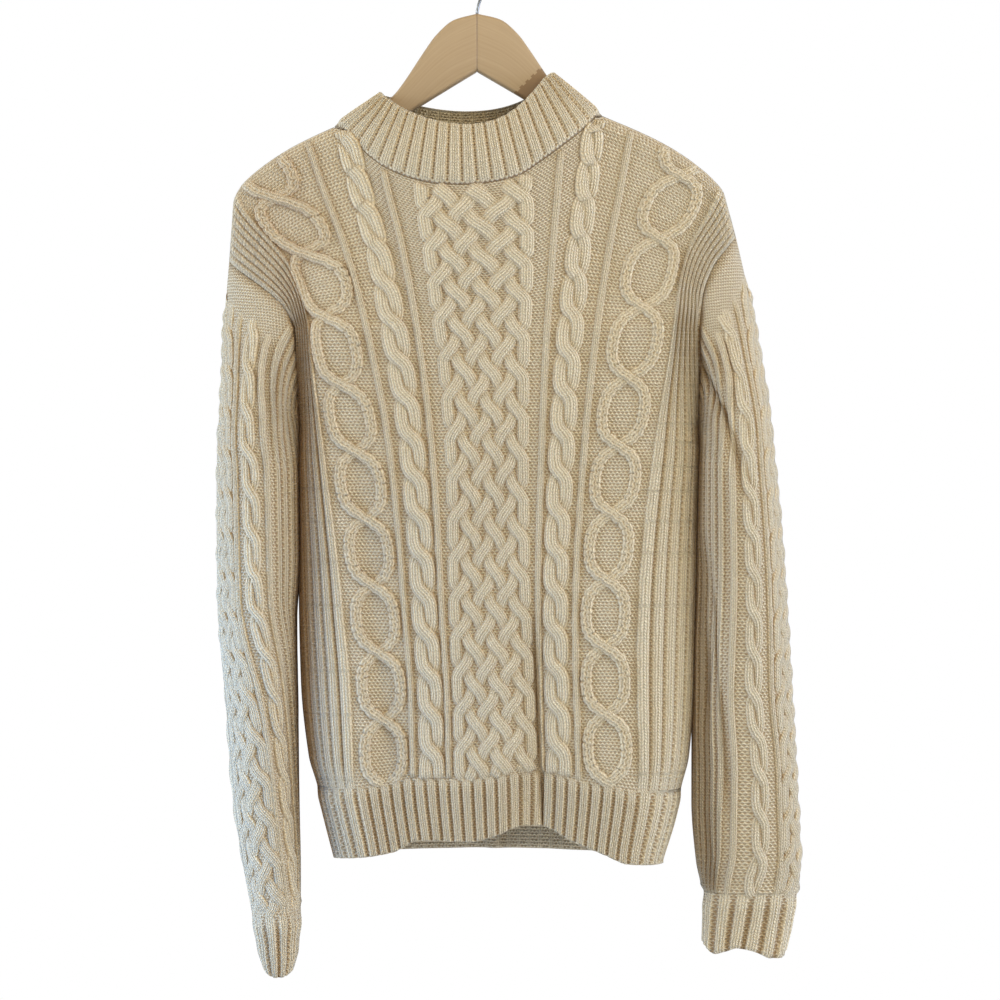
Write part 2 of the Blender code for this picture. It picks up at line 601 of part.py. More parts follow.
def armhole(angle, arm):
    """Armhole seam at an angle."""
    fine = np.linspace(UNDERARM, TOP_LEVEL, 181)
    place = np.append(armhole_angles(fine, arm), 2 * math.pi)
    column = edge_column(arm)
    loop = closed_loop(panel_ground(column, fine, "front"), panel_ground(column, fine, "back"))
    loop = np.concatenate((loop, loop[:1]))
    angle = np.asarray(angle, float) % (2 * math.pi)
    return np.stack([np.interp(angle, place, loop[:, k]) for k in range(3)], axis=-1)


def sleeve_folds(arm, angle, drop):
    """Soft troughs of a sleeve, by hand."""
    raised = np.zeros(np.broadcast(angle, drop).shape)
    for which, middle, top, bottom, width, height in zip(*SLEEVE_FOLDS.values()):
        if which == arm:
            run = ease(top, top + 60, drop) * (1 - ease(bottom - 60, bottom, drop))
            turn = (np.degrees(angle) - middle + 180) % 360 - 180
            raised = raised + height * run * np.exp(-(turn / width) ** 2)
    return raised


def sleeve_end(arm):
    """Drop of the cuff's edge."""
    return SLEEVE[arm]["drop"][-1]


def cap_share(arm):
    """Share of the sleeve's run that lies in its cap."""
    return (SLEEVE_CAP - UNDERARM + 60) / (sleeve_end(arm) - UNDERARM)


def cuff_share(arm):
    """Share of the sleeve's run where its cuff starts."""
    down = (CUFF_TOP[arm] - SLEEVE_CAP) / (sleeve_end(arm) - SLEEVE_CAP)
    return cap_share(arm) + (1 - cap_share(arm)) * down


def sleeve_girth(drop, arm):
    """Length round the sleeve at a drop, by Ramanujan's rule for an ellipse."""
    table = SLEEVE[arm]
    inner = through(table["drop"], table["inner"], drop)
    outer = through(table["drop"], table["outer"], drop)
    wide = np.abs(inner - outer) / 2
    deep = through(table["drop"], table["depth"], drop) / 2
    return math.pi * (3 * (wide + deep) - np.sqrt((3 * wide + deep) * (wide + 3 * deep)))


def sleeve_angle(column, run, arm):
    """Angle of a knitted column: true width near the middle line, squeezed at the underarm."""
    nominal = SLEEVE_CAP + (sleeve_end(arm) - SLEEVE_CAP) * np.clip(run - 0.1, 0, 1) / 0.9
    half = sleeve_girth(nominal, arm) / 2
    away = np.abs(column)
    chart = SLEEVE_RIBS_FROM * np.minimum(1.0, 0.78 * half / SLEEVE_RIBS_FROM)
    in_ribs = (away - SLEEVE_RIBS_FROM) / (SLEEVE_HALF - SLEEVE_RIBS_FROM)
    across = np.where(in_ribs > 0, chart + (half - chart) * in_ribs, away * chart / SLEEVE_RIBS_FROM)
    middle = np.radians(through(SLEEVE_LINE["run"], SLEEVE_LINE[arm], run))
    return middle - np.sign(column) * across / half * math.pi


def sleeve_ground(angle, run, arm, inset=0.0):
    """Ground surface of a sleeve; run is 0 at the armhole seam and 1 at the cuff's edge."""
    angle, run = np.broadcast_arrays(np.asarray(angle, float), np.asarray(run, float))
    seam = armhole(angle, arm)
    cap = cap_share(arm)
    in_cap = np.clip(run / cap, 0, 1)
    cap_drop = -seam[..., 2] + (SLEEVE_CAP + seam[..., 2]) * in_cap
    low_drop = SLEEVE_CAP + (sleeve_end(arm) - SLEEVE_CAP) * (run - cap) / (1 - cap)
    drop = np.where(run < cap, cap_drop, low_drop)
    place = tube(angle, drop, arm, inset)
    start = tube(angle, -seam[..., 2], arm)
    pull = (seam - start) * ((1 - in_cap) ** 2)[..., None]
    inward = tube(angle, drop, arm, inset + 1.0) - place
    return place + pull - inward * sleeve_folds(arm, angle, drop)[..., None]


def sleeve_frame(angle, run, arm):
    """Unit vectors of a sleeve's surface: down along it, and out of it."""
    low = np.clip(run, 0.004, 0.996)
    across = sleeve_ground(angle + 0.02, low, arm) - sleeve_ground(angle - 0.02, low, arm)
    along = sleeve_ground(angle, low + 0.003, arm) - sleeve_ground(angle, low - 0.003, arm)
    out = np.cross(across, along) if arm == "right" else np.cross(along, across)
    return unit(along), unit(out)


def sleeve_point(column, run, arm):
    """Outer point of a sleeve, raised by its knitting."""
    column, run = np.broadcast_arrays(np.asarray(column, float), np.asarray(run, float))
    angle = sleeve_angle(column, run, arm)
    ground = sleeve_ground(angle, run, arm)
    _, out = sleeve_frame(angle, run, arm)
    drop = -ground[..., 2]
    ribs = RIB_RAISE * (0.5 - 0.5 * np.cos(math.pi * column / SLEEVE_HALF * CUFF_RIBS))
    in_cuff = ease(CUFF_TOP[arm] - 3, CUFF_TOP[arm] + 3, drop)
    raised = sleeve_relief(column, drop) * (1 - in_cuff) + ribs * in_cuff
    fade = ease(0.0, 0.016, run)
    facing_body = np.clip(np.cos(angle), 0, 1) ** 1.5 * (1 - ease(660, 740, drop))
    return ground + out * (raised * fade * (1 - 0.85 * facing_body))[..., None]


def sleeve_inner(angle, run, arm):
    """Inner point of a sleeve's wall below its seam."""
    thick = SEAM_WALL + (WALL - SEAM_WALL) * ease(0.0, 0.03, run)
    return sleeve_ground(angle, run, arm, thick)


def armhole_edge(levels, arm, panel):
    """Armhole edge of a panel: its points, the way into the wall and the way to the sleeve."""
    column = edge_column(arm)
    points = panel_ground(column, levels, panel)
    within = unit(panel_ground(column * 0.99, levels, panel) - points)
    out = panel_normal(column, levels, panel)
    angles = armhole_angles(levels, arm)
    front = len(levels)
    angle = angles[:front]
    if panel == "back":
        angle = np.concatenate(([2 * math.pi], angles[front:][::-1], [math.pi]))
    down, sleeve_out = sleeve_frame(angle, np.zeros(front), arm)
    return seam_ways(points, out, within, sleeve_out, down, (0, -1))


def sleeve_start(levels, arm, inside):
    """First row of a sleeve: the armhole edge of the panels, moved off by the seam's gap."""
    sides = []
    for panel in ("front", "back"):
        points, inward, apart = armhole_edge(levels, arm, panel)
        sides.append(points + inward * inside + apart * SEAM_GAP)
    return closed_loop(*sides)


# ---------------------------------------------------------------- closed walls

class Wall:
    """Collects the points and faces of one closed wall."""

    def __init__(self):
        self.points = []
        self.faces = []

    def row(self, points):
        """Adds a row of points and gives their numbers."""
        start = len(self.points)
        self.points.extend([tuple(p) for p in np.asarray(points) * MM])
        return list(range(start, len(self.points)))

    def join(self, one, two, one_at, two_at):
        """Fills the strip between two rows of points, placed at the given shares along it."""
        if len(one) == len(two) and np.allclose(one_at, two_at):
            for k in range(len(one) - 1):
                self.faces.append((one[k], one[k + 1], two[k + 1], two[k]))
            return
        i = j = 0
        while i < len(one) - 1 or j < len(two) - 1:
            take_one = j == len(two) - 1 or (i < len(one) - 1 and one_at[i + 1] <= two_at[j + 1])
            if take_one:
                self.faces.append((one[i], one[i + 1], two[j]))
                i += 1
            else:
                self.faces.append((one[i], two[j + 1], two[j]))
                j += 1

    def sheet(self, rows, places):
        """Fills between each row and the next."""
        for k in range(len(rows) - 1):
            self.join(rows[k], rows[k + 1], places[k], places[k + 1])

    def build(self, name, material):
        """Makes the object, with every face turned outwards."""
        mesh = bpy.data.meshes.new(name)
        shape = bmesh.new()
        corners = [shape.verts.new(p) for p in self.points]
        for face in self.faces:
            shape.faces.new([corners[k] for k in face])
        bmesh.ops.triangulate(shape, faces=[f for f in shape.faces if len(f.verts) > 3])
        bmesh.ops.recalc_face_normals(shape, faces=shape.faces)
        if shape.calc_volume(signed=True) < 0:
            bmesh.ops.reverse_faces(shape, faces=shape.faces)
        shape.to_mesh(mesh)
        shape.free()
        mesh.shade_smooth()
        mesh.materials.append(material)
        piece = bpy.data.objects.new(name, mesh)
        bpy.context.scene.collection.objects.link(piece)
        return piece


def material(name, roughness, metallic=0.0):
    """Principled material of one sub-part."""
    kind = name.split("_")[0]
    made = bpy.data.materials.new(name)
    made.use_nodes = True
    shader = made.node_tree.nodes["Principled BSDF"]
    shader.inputs["Base Color"].default_value = COLOURS[kind]
    shader.inputs["Roughness"].default_value = roughness
    shader.inputs["Metallic"].default_value = metallic
    return made


def panel_columns():
    """Columns of points across a panel, on the crossings, ridges and grooves of its relief."""
    half = [PLAIT_SPACING * (k + 0.5) for k in (0, 1, 2, 3)]
    half += [FINE_RIBS_AT[0], ROPE_AT - ROPE_SWING, ROPE_AT, NECK_ON_WOOD, NECK_HALF, 70.0,
             FINE_RIBS_AT[1], DIAMOND_AT - 13.0, DIAMOND_AT, DIAMOND_AT + 13.0]
    width = (PANEL_HALF - SIDE_RIBS_FROM) / SIDE_RIB_COUNT / 2
    half += [SIDE_RIBS_FROM + width * k for k in (0, 1, 2, 3, 4)]
    return np.array([-c for c in half[::-1]] + half)


def lining_columns():
    """Columns of points across a panel's plain inside."""
    half = [15.9, 37.1, ROPE_AT - ROPE_SWING, NECK_ON_WOOD, NECK_HALF, 84.0, DIAMOND_AT]
    half += [SIDE_RIBS_FROM + (PANEL_HALF - SIDE_RIBS_FROM) * k / 4 for k in (0, 1, 2, 3, 4)]
    return np.array([-c for c in half[::-1]] + [0.0] + half)


def at_neck(columns):
    """Which of the columns end at the neck."""
    return np.abs(columns) < NECK_HALF + 0.01


def crossing_drops(table, top, bottom):
    """Drops of a plait's crossings between two drops, whichever way the strands lean there."""
    halves = np.arange(2 * table["number"][0], 2 * table["number"][-1] + 1) / 2
    drops = through(table["number"], table["drop"], halves)
    return drops[(drops > top) & (drops < bottom)]


def panel_levels():
    """Levels of a panel's rows above the hem: chest, underarm, shoulders and their roll."""
    chest = crossing_drops(PLAIT_ROWS, SHOULDER_ZONE + ROW_LEAST, HEM_TOP - ROW_LEAST)[::-1]
    nearest = np.argmin(np.abs(chest - UNDERARM))
    chest[nearest] = UNDERARM
    zone = SHOULDER_ZONE - TOP_LEVEL
    turning = np.arange(SHOULDER_ZONE, TOP_LEVEL + 0.14 * zone, -ROW_TURNING)
    rolled = TOP_LEVEL + zone * np.array([0.11, 0.07, 0.042, 0.018, 0.0])
    return chest, turning, rolled


def lining_levels():
    """Levels of the rows of a panel's plain inside."""
    chest, turning, rolled = panel_levels()
    arm = chest[chest <= UNDERARM]
    low = chest[chest > UNDERARM]
    return np.concatenate(([HEM_EDGE - 30, HEM_TOP + 4], low[2::3], arm, turning[::2], rolled[:-1]))


def sleeve_columns():
    """Columns of points round a sleeve, the underarm seam first."""
    swing = ROPE_SWING * SLEEVE_ROPE_SIZE
    half = [SLEEVE_PLAIT_SPACING * (k + 0.5) for k in (0, 1, 2)]
    half += [SLEEVE_FINE_AT[0], SLEEVE_ROPE_AT - swing, SLEEVE_ROPE_AT, SLEEVE_ROPE_AT + swing,
             SLEEVE_FINE_AT[1], SLEEVE_RIBS_FROM]
    width = (SLEEVE_HALF - SLEEVE_RIBS_FROM) / (SLEEVE_RIB_COUNT + 0.5) / 2
    half += [SLEEVE_RIBS_FROM + width * k for k in range(1, 2 * SLEEVE_RIB_COUNT + 1)]
    return np.array([-SLEEVE_HALF] + [-c for c in half[::-1]] + [0.0] + half)


def hem_columns():
    """Columns of points across the hem: one on each rib and one in each groove."""
    count = int(PANEL_HALF // (HEM_RIB / 2))
    inner = [HEM_RIB / 2 * k for k in range(-count, count + 1)]
    return np.array([-PANEL_HALF] + inner + [PANEL_HALF])


def shares(values):
    """Places of a row's points along it, from 0 to 1."""
    values = np.asarray(values, float)
    return (values - values[0]) / (values[-1] - values[0])


def make_panel(panel, wool):
    """Front or back panel with its hem, as one closed wall."""
    wall = Wall()
    columns, ribs = panel_columns(), hem_columns()
    hem_levels = np.array([HEM_EDGE, HEM_EDGE - 30, HEM_TOP + 4])
    levels = np.concatenate(panel_levels())
    outer, places = [], []
    for level in hem_levels:
        outer.append(wall.row(panel_point(ribs, level, panel)))
        places.append(shares(ribs))
    for level in levels:
        outer.append(wall.row(panel_point(columns, level, panel)))
        places.append(shares(columns))
    wall.sheet(outer, places)

    # The two end rows of the plain inside have the same columns as the rows they close on.
    plain, middle_levels = lining_columns(), lining_levels()
    inner_levels = np.concatenate(([HEM_EDGE], middle_levels, [TOP_LEVEL]))
    across = [ribs] + [plain] * len(middle_levels) + [columns]
    lining = [panel_point(c, level, panel, False, seam_wall(c, level))
              for c, level in zip(across, inner_levels)]
    at_arm = inner_levels <= UNDERARM
    for arm, end in (("right", 0), ("left", -1)):
        points, inward, _ = armhole_edge(inner_levels[at_arm], arm, panel)
        for k, place in zip(np.flatnonzero(at_arm), points + inward * SEAM_WALL):
            lining[k][end] = place
    points, inward, _ = neck_edge(columns[at_neck(columns)], panel)
    lining[-1][at_neck(columns)] = points + inward * SEAM_WALL
    inner = [wall.row(points) for points in lining]
    wall.sheet(inner, [shares(c) for c in across])

    wall.join(outer[0], inner[0], places[0], places[0])
    wall.join(outer[-1], inner[-1], places[-1], places[-1])
    outer_at = shares(-np.concatenate((hem_levels, levels)))
    inner_at = shares(-inner_levels)
    for end in (0, -1):
        wall.join([r[end] for r in outer], [r[end] for r in inner], outer_at, inner_at)
    return wall.build(panel, wool)


def ring(wall, points):
    """A closed row: its first point is also its last."""
    numbers = wall.row(points)
    return numbers + numbers[:1]


def make_collar(wool):
    """Mock-neck collar as one closed ribbed tube."""
    wall = Wall()
    edge = panel_columns()
    edge = edge[at_neck(edge)]
    edge_at = np.append(neck_shares(edge), 1.0)
    fine = np.arange(COLLAR_RIBS * 2) / (COLLAR_RIBS * 2)
    coarse = np.arange(COLLAR_RIBS) / COLLAR_RIBS
    outer = [ring(wall, collar_start(edge, 0.0))]
    outer += [ring(wall, collar_point(fine, height)) for height in (0.16, 0.93)]
    rounded = (collar_point(fine, 1.0) + collar_rim(fine)) / 2
    outer.append(ring(wall, rounded))
    fine_at, coarse_at = np.append(fine, 1.0), np.append(coarse, 1.0)
    wall.sheet(outer, [edge_at] + [fine_at] * 3)
    inner = [ring(wall, collar_start(edge, SEAM_WALL))]
    inner += [ring(wall, collar_point(coarse, height, False, WALL)) for height in (0.18, 0.55, 1.0)]
    wall.sheet(inner, [edge_at] + [coarse_at] * 3)
    wall.join(outer[0], inner[0], edge_at, edge_at)
    wall.join(outer[-1], inner[-1], fine_at, coarse_at)
    return wall.build("collar", wool)


def make_sleeve(arm, wool):
    """Sleeve with its cuff as one closed tube."""
    wall = Wall()
    columns = sleeve_columns()
    ribs = SLEEVE_HALF * (np.arange(CUFF_RIBS * 2) / CUFF_RIBS - 1)
    plain = SLEEVE_HALF * (np.arange(18) / 9 - 1)
    levels = np.concatenate(panel_levels())
    edge, lining = levels[levels <= UNDERARM], np.append(lining_levels(), TOP_LEVEL)
    lining = lining[lining <= UNDERARM]
    start, end = cap_share(arm), cuff_share(arm)
    per_drop = (1 - start) / (sleeve_end(arm) - SLEEVE_CAP)
    crossed = crossing_drops(SLEEVE_PLAIT_ROWS, SLEEVE_CAP + ROW_LEAST, CUFF_TOP[arm] - ROW_LEAST)
    cap_runs = np.arange(0.04, start, ROW_CAP * per_drop)
    body_runs = np.concatenate(([0.018], cap_runs, start + (crossed - SLEEVE_CAP) * per_drop))
    cuff_runs = np.array([end + 0.008, (end + 1) / 2, 1.0])

    def turned(values):
        """Places round a ring by angle, the underarm first, for the rings beside the seam."""
        return 1 - np.asarray(values) / (2 * math.pi)

    # The panels' edge runs the other way round from the columns, so it is turned about.
    first = ring(wall, np.roll(sleeve_start(edge, arm, 0.0)[::-1], 1, axis=0))
    edge_at = np.append(0.0, turned(armhole_angles(edge, arm)[::-1]))
    column_at = shares(np.append(columns, SLEEVE_HALF))
    rib_at = shares(np.append(ribs, SLEEVE_HALF))
    plain_at = shares(np.append(plain, SLEEVE_HALF))
    body = [ring(wall, sleeve_point(columns, run, arm)) for run in body_runs]
    near = turned(sleeve_angle(np.append(columns, SLEEVE_HALF), body_runs[0], arm))
    wall.join(first, body[0], edge_at, near)
    cuff = [ring(wall, sleeve_point(ribs, run, arm)) for run in cuff_runs]
    wall.sheet(body + cuff, [column_at] * len(body) + [rib_at] * len(cuff))

    inner_first = ring(wall, np.roll(sleeve_start(lining, arm, SEAM_WALL)[::-1], 1, axis=0))
    lining_at = np.append(0.0, turned(armhole_angles(lining, arm)[::-1]))
    inner_runs = np.concatenate(([0.02, 0.06], np.linspace(0.12, 0.97, 12), [1.0]))
    inner = [ring(wall, sleeve_inner(sleeve_angle(plain, run, arm), run, arm)) for run in inner_runs]
    near = turned(sleeve_angle(np.append(plain, SLEEVE_HALF), inner_runs[0], arm))
    wall.join(inner_first, inner[0], lining_at, near)
    wall.sheet(inner, [plain_at] * len(inner))
    wall.join(first, inner_first, edge_at, lining_at)
    wall.join(cuff[-1], inner[-1], rib_at, plain_at)
    return wall.build("sleeve_" + arm, wool)


# ---------------------------------------------------------------- hanger

def make_hanger_half(arm, wood):
    """One mitred half of the flat hanger, with rounded long edges."""
    side = -1.0 if arm == "right" else 1.0
    wall = Wall()
    half, edge = HANGER_THICK / 2, HANGER_EDGE
    rings = []
    reaches = [HANGER_JOINT / 2, 28.0, 150.0, 186.0] + list(HANGER["reach"][1:])
    for reach in sorted(reaches):
        x = side * reach
        top, bottom = float(hanger_edge(x, "top")), float(hanger_edge(x, "bottom"))
        soft = min(edge, (bottom - top) * 0.42)
        outline = []
        corners = ((half - soft, top + soft), (-half + soft, top + soft),
                   (-half + soft, bottom - soft), (half - soft, bottom - soft))
        for quarter, (y, drop) in enumerate(corners):
            for k in (0, 1, 2):
                angle = math.pi / 2 * (quarter + k / 2)
                outline.append((x, y + soft * math.cos(angle), soft * math.sin(angle) - drop))
        rings.append(wall.row(outline))
    count = len(rings[0])
    for one, two in zip(rings[:-1], rings[1:]):
        for k in range(count):
            wall.faces.append((one[k], one[(k + 1) % count], two[(k + 1) % count], two[k]))
    wall.faces.append(tuple(rings[0]))
    wall.faces.append(tuple(rings[-1]))
    return wall.build("hanger_arm_" + arm, wood)


def hook_path():
    """Middle line of the bent wire, from its foot at the wood to its open end."""
    radius = HOOK_INSIDE + WIRE / 2
    centre = -HOOK_INSIDE
    foot = np.array((0.0, -float(hanger_edge(0.0, "top")) + HOOK_SINK))
    join_angle = math.radians(-52)
    join = np.array((radius * math.cos(join_angle), centre + radius * math.sin(join_angle)))
    leave = np.array((0.6, 9.0))
    arrive = np.array((-math.sin(join_angle), math.cos(join_angle))) * 9.0
    points = []
    for t in np.linspace(0, 1, 9)[:-1]:
        bend = (foot * (1 - t) ** 3 + 3 * (foot + leave) * t * (1 - t) ** 2
                + 3 * (join - arrive) * t * t * (1 - t) + join * t ** 3)
        points.append(bend)
    for angle in np.radians(np.linspace(-52, 206, 25)):
        points.append(np.array((radius * math.cos(angle), centre + radius * math.sin(angle))))
    return np.array([(p[0], 0.0, p[1]) for p in points])


def make_hook(steel):
    """Wire hook, swept along its path and closed at both ends."""
    path = hook_path()
    wall = Wall()
    rings = []
    for k, place in enumerate(path):
        ahead = path[min(k + 1, len(path) - 1)] - path[max(k - 1, 0)]
        ahead = ahead / np.linalg.norm(ahead)
        if k == 0:
            ahead = np.array((0.0, 0.0, 1.0))
        sideways = np.array((ahead[2], 0.0, -ahead[0]))
        outline = []
        for turn in np.arange(HOOK_SIDES) / HOOK_SIDES * 2 * math.pi:
            around = math.cos(turn) * sideways + math.sin(turn) * np.array((0.0, 1.0, 0.0))
            outline.append(place + WIRE / 2 * around)
        rings.append(wall.row(outline))
    for one, two in zip(rings[:-1], rings[1:]):
        for k in range(HOOK_SIDES):
            wall.faces.append((one[k], one[(k + 1) % HOOK_SIDES], two[(k + 1) % HOOK_SIDES], two[k]))
    wall.faces.append(tuple(rings[0]))
    wall.faces.append(tuple(rings[-1]))
    return wall.build("hanger_hook", steel)


def main():
    """Builds every piece."""
    for old in list(bpy.data.objects):
        bpy.data.objects.remove(old, do_unlink=True)
    for panel in ("front", "back"):
        make_panel(panel, material("wool_" + panel, 0.9))
    for arm in ("right", "left"):
        make_sleeve(arm, material("wool_sleeve_" + arm, 0.9))
    make_collar(material("wool_collar", 0.9))
    for arm in ("right", "left"):
        make_hanger_half(arm, material("wood_arm_" + arm, 0.5))
    make_hook(material("steel_hook", 0.3, 1.0))


main()
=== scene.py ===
# %% [markdown]
# # A cable knit sweater on a wooden hanger
#
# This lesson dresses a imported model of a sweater. The frame below holds its plain solids: a front,
# a back, two sleeves, a collar, and a hanger with its hook. Here each cloth solid gets a finer wall
# of the same shape, and on it lie the cables as strands that truly pass over and under each other.
# Stitches too small to model become bump and colour, counted in wales (columns) and rows.
#
# Lengths are in millimetres in the tables, with heights given as drops below the hook's bearing
# point. +X is the wearer's left, and -Y is the front.

# %% Load the frame
import json
import math

import bmesh
import bpy
import numpy as np
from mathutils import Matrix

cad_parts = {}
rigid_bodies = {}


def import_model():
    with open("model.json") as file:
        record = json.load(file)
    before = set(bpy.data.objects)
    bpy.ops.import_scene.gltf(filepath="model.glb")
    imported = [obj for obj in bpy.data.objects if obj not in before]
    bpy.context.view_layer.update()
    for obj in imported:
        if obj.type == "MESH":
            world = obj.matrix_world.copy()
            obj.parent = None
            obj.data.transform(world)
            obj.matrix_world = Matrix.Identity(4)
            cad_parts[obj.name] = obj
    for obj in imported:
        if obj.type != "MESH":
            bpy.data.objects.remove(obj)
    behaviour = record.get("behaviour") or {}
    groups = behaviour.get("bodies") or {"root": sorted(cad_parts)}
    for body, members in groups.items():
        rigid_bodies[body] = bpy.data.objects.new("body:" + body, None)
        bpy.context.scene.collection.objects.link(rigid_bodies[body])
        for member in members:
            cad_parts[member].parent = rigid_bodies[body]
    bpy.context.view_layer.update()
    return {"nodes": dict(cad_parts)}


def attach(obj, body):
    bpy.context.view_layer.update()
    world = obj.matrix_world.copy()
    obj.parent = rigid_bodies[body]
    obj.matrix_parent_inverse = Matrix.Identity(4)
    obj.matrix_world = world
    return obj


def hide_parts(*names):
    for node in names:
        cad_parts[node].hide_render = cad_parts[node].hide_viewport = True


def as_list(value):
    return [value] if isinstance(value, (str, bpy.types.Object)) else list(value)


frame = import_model()
MM = 0.001

# %% [markdown]
# ## Camera
#
# A garment on a hanger is shown straight from the front. A long lens, 2.6 m away, keeps the hem and
# the collar at the same scale. The view is 0.9 m wide, centred on the body.

# %% Camera
VIEW_DISTANCE = 2.6
VIEW_WIDTH = 0.9
VIEW_CENTRE = (0.0207, -0.4994)       # x and z that the camera looks at
SENSOR = 36.0

scene = bpy.context.scene
camera = bpy.data.objects.new("camera", bpy.data.cameras.new("camera"))
camera.data.sensor_width = SENSOR
camera.data.lens = SENSOR * VIEW_DISTANCE / VIEW_WIDTH
camera.location = (VIEW_CENTRE[0], -VIEW_DISTANCE, VIEW_CENTRE[1])
camera.rotation_euler = (math.pi / 2, 0.0, 0.0)
scene.collection.objects.link(camera)
scene.camera = camera
print("lens", round(camera.data.lens, 1), "mm")

# %% [markdown]
# ## Light
#
# Knitting is read by its small shadows, so the main light comes from the side and above. A cool
# light on the left stands for a window, and a warmer, weaker one fills from the right. They are
# large, which keeps the shadows soft, but for one narrow strip that cools the sleeve beside the
# window. The world is white where it is seen, and tinted where it only lights, from cool on the
# left to warm on the right.

# %% Lights
LIT_POINT = (0.0, 0.0, -0.5)
LIGHTS = {"name": ("window", "sleeve_strip", "far_window", "room", "overhead", "front_fill"),
          "place": ((-2.6, -0.6, 0.3), (-0.46, -0.24, -0.76), (2.6, -0.7, 0.0), (1.9, -1.6, 0.9),
                    (0.0, -1.6, 2.0), (0.2, -3.4, 0.5)),
          "aimed": (LIT_POINT, (-0.2, 0.0, -0.76), LIT_POINT, LIT_POINT, LIT_POINT, LIT_POINT),
          "size": (1.3, 0.1, 1.3, 1.6, 1.8, 2.4),
          "tall": (1.3, 0.45, 1.3, 1.6, 1.8, 2.4),
          "watts": (70.0, 1.2, 48.0, 37.0, 22.0, 21.0),
          "colour": ((0.79, 0.89, 1.0), (0.12, 0.42, 1.0), (0.55, 0.68, 1.0), (1.0, 0.98, 0.80),
                     (1.0, 0.66, 0.28), (1.0, 0.92, 0.72))}


def aim(thing, place, target):
    """Puts a light at a place and turns it towards a target."""
    away = np.array(place) - np.array(target)
    thing.location = place
    thing.rotation_euler = (math.atan2(math.hypot(away[0], away[1]), away[2]), 0.0,
                            math.atan2(away[1], away[0]) + math.pi / 2)


for name, place, target, size, tall, watts, colour in zip(*LIGHTS.values()):
    lamp = bpy.data.lights.new(name, "AREA")
    lamp.shape = "RECTANGLE"
    lamp.size, lamp.size_y, lamp.energy, lamp.color = size, tall, watts, colour
    thing = bpy.data.objects.new(name, lamp)
    scene.collection.objects.link(thing)
    thing.visible_camera = False
    aim(thing, place, target)
print(len(LIGHTS["name"]), "lights")

# %% World
COOL_TINT = (0.90, 0.95, 1.0, 1)
WARM_TINT = (1.0, 0.93, 0.82, 1)
ROOM_GLOW = 0.12           # strength of the world in front of the garment
ROOM_BEHIND = 0.8          # added to it behind, where the room is brighter

world = bpy.data.worlds.new("studio")
scene.world = world
scene.view_settings.view_transform = "Standard"
world.use_nodes = True
links = world.node_tree.links
links.clear()
nodes = world.node_tree.nodes
lit, seen = nodes["Background"], nodes.new("ShaderNodeBackground")
where, split = nodes.new("ShaderNodeTexCoord"), nodes.new("ShaderNodeSeparateXYZ")
tint, path = nodes.new("ShaderNodeValToRGB"), nodes.new("ShaderNodeLightPath")
half, choose = nodes.new("ShaderNodeMapRange"), nodes.new("ShaderNodeMixShader")
half.inputs["From Min"].default_value = -1.0
tint.color_ramp.elements[0].color = COOL_TINT
tint.color_ramp.elements[1].color = WARM_TINT
behind, bright = nodes.new("ShaderNodeClamp"), nodes.new("ShaderNodeMath")
bright.operation = "MULTIPLY_ADD"
bright.inputs[1].default_value = ROOM_BEHIND
bright.inputs[2].default_value = ROOM_GLOW
links.new(split.outputs["Y"], behind.inputs["Value"])
links.new(behind.outputs[0], bright.inputs[0])
links.new(bright.outputs[0], lit.inputs["Strength"])
seen.inputs["Color"].default_value = (1, 1, 1, 1)
links.new(where.outputs["Generated"], split.inputs[0])
links.new(split.outputs["X"], half.inputs["Value"])
links.new(half.outputs["Result"], tint.inputs["Fac"])
links.new(tint.outputs["Color"], lit.inputs["Color"])
links.new(path.outputs["Is Camera Ray"], choose.inputs["Fac"])
links.new(lit.outputs[0], choose.inputs[1])
links.new(seen.outputs[0], choose.inputs[2])
links.new(choose.outputs[0], nodes["World Output"].inputs["Surface"])

# %% [markdown]
# ## Knitting sizes
#
# A knitter works from a chart: how many millimetres each cable takes, and where each column of the
# chart lies from the middle. The tables below are that chart and the sizes of the hanging garment.
# A panel has two coordinates: `column`, the millimetres knitted to each side of the middle, and
# `level`, the drop that a row would have if every row hung straight.

# %% Cloth and knitting
WALL = 2.8                 # thickness of the plain knitted ground
SEAM_WALL = 1.5            # thickness left at a sewn edge
SEAM_GAP = 0.4             # space between two pieces at a seam
SEAM_FADE = 9.0            # the relief dies away over this length before a seam

# Where the cables and ribs of a panel lie, from its middle.
PLAIT_STRANDS = 7
ROPE_AT = 59.0
FINE_RIBS_AT = (43.5, 77.0)
DIAMOND_AT = 104.0
SIDE_RIBS_FROM = 130.0     # the side ribs run from here to the side seam
PANEL_HALF = 185.0         # half the panel's knitted width
HEM_RIB = 11.0             # pitch of the hem ribs
COLLAR_RIBS = 46

# %% Levels and outline of the body
HEM_EDGE = 815.0
HEM_TOP = 752.0
UNDERARM = 436.0
SHOULDER_ZONE = 346.0      # above this the rows turn up towards the shoulders
TOP_LEVEL = 180.0          # nominal level of the last row

# How the panel's columns fan out towards the shoulders: centre line and spread at each drop.
FAN = {"drop":   (150, 220, 274, 364, 454, 589, 679, 740, 815),
       "centre": (-8.0, -3.6, 0.9, 5.4, 9.0, 11.5, 15.3, 17.0, 19.0),
       "spread": (1.96, 1.73, 1.53, 1.29, 1.12, 0.985, 0.95, 0.95, 0.87)}

# Side seam below the underarm: x of each side at each drop.
SIDE = {"drop":  (346, 390, 436, 500, 589, 661, 729, 783, 822),
        "right": (-161.5, -159.5, -158.5, -158.5, -158.5, -156.0, -148.5, -136.0, -126.0),
        "left":  (198.0, 199.0, 199.5, 198.0, 196.0, 193.5, 188.0, 177.0, 165.0)}

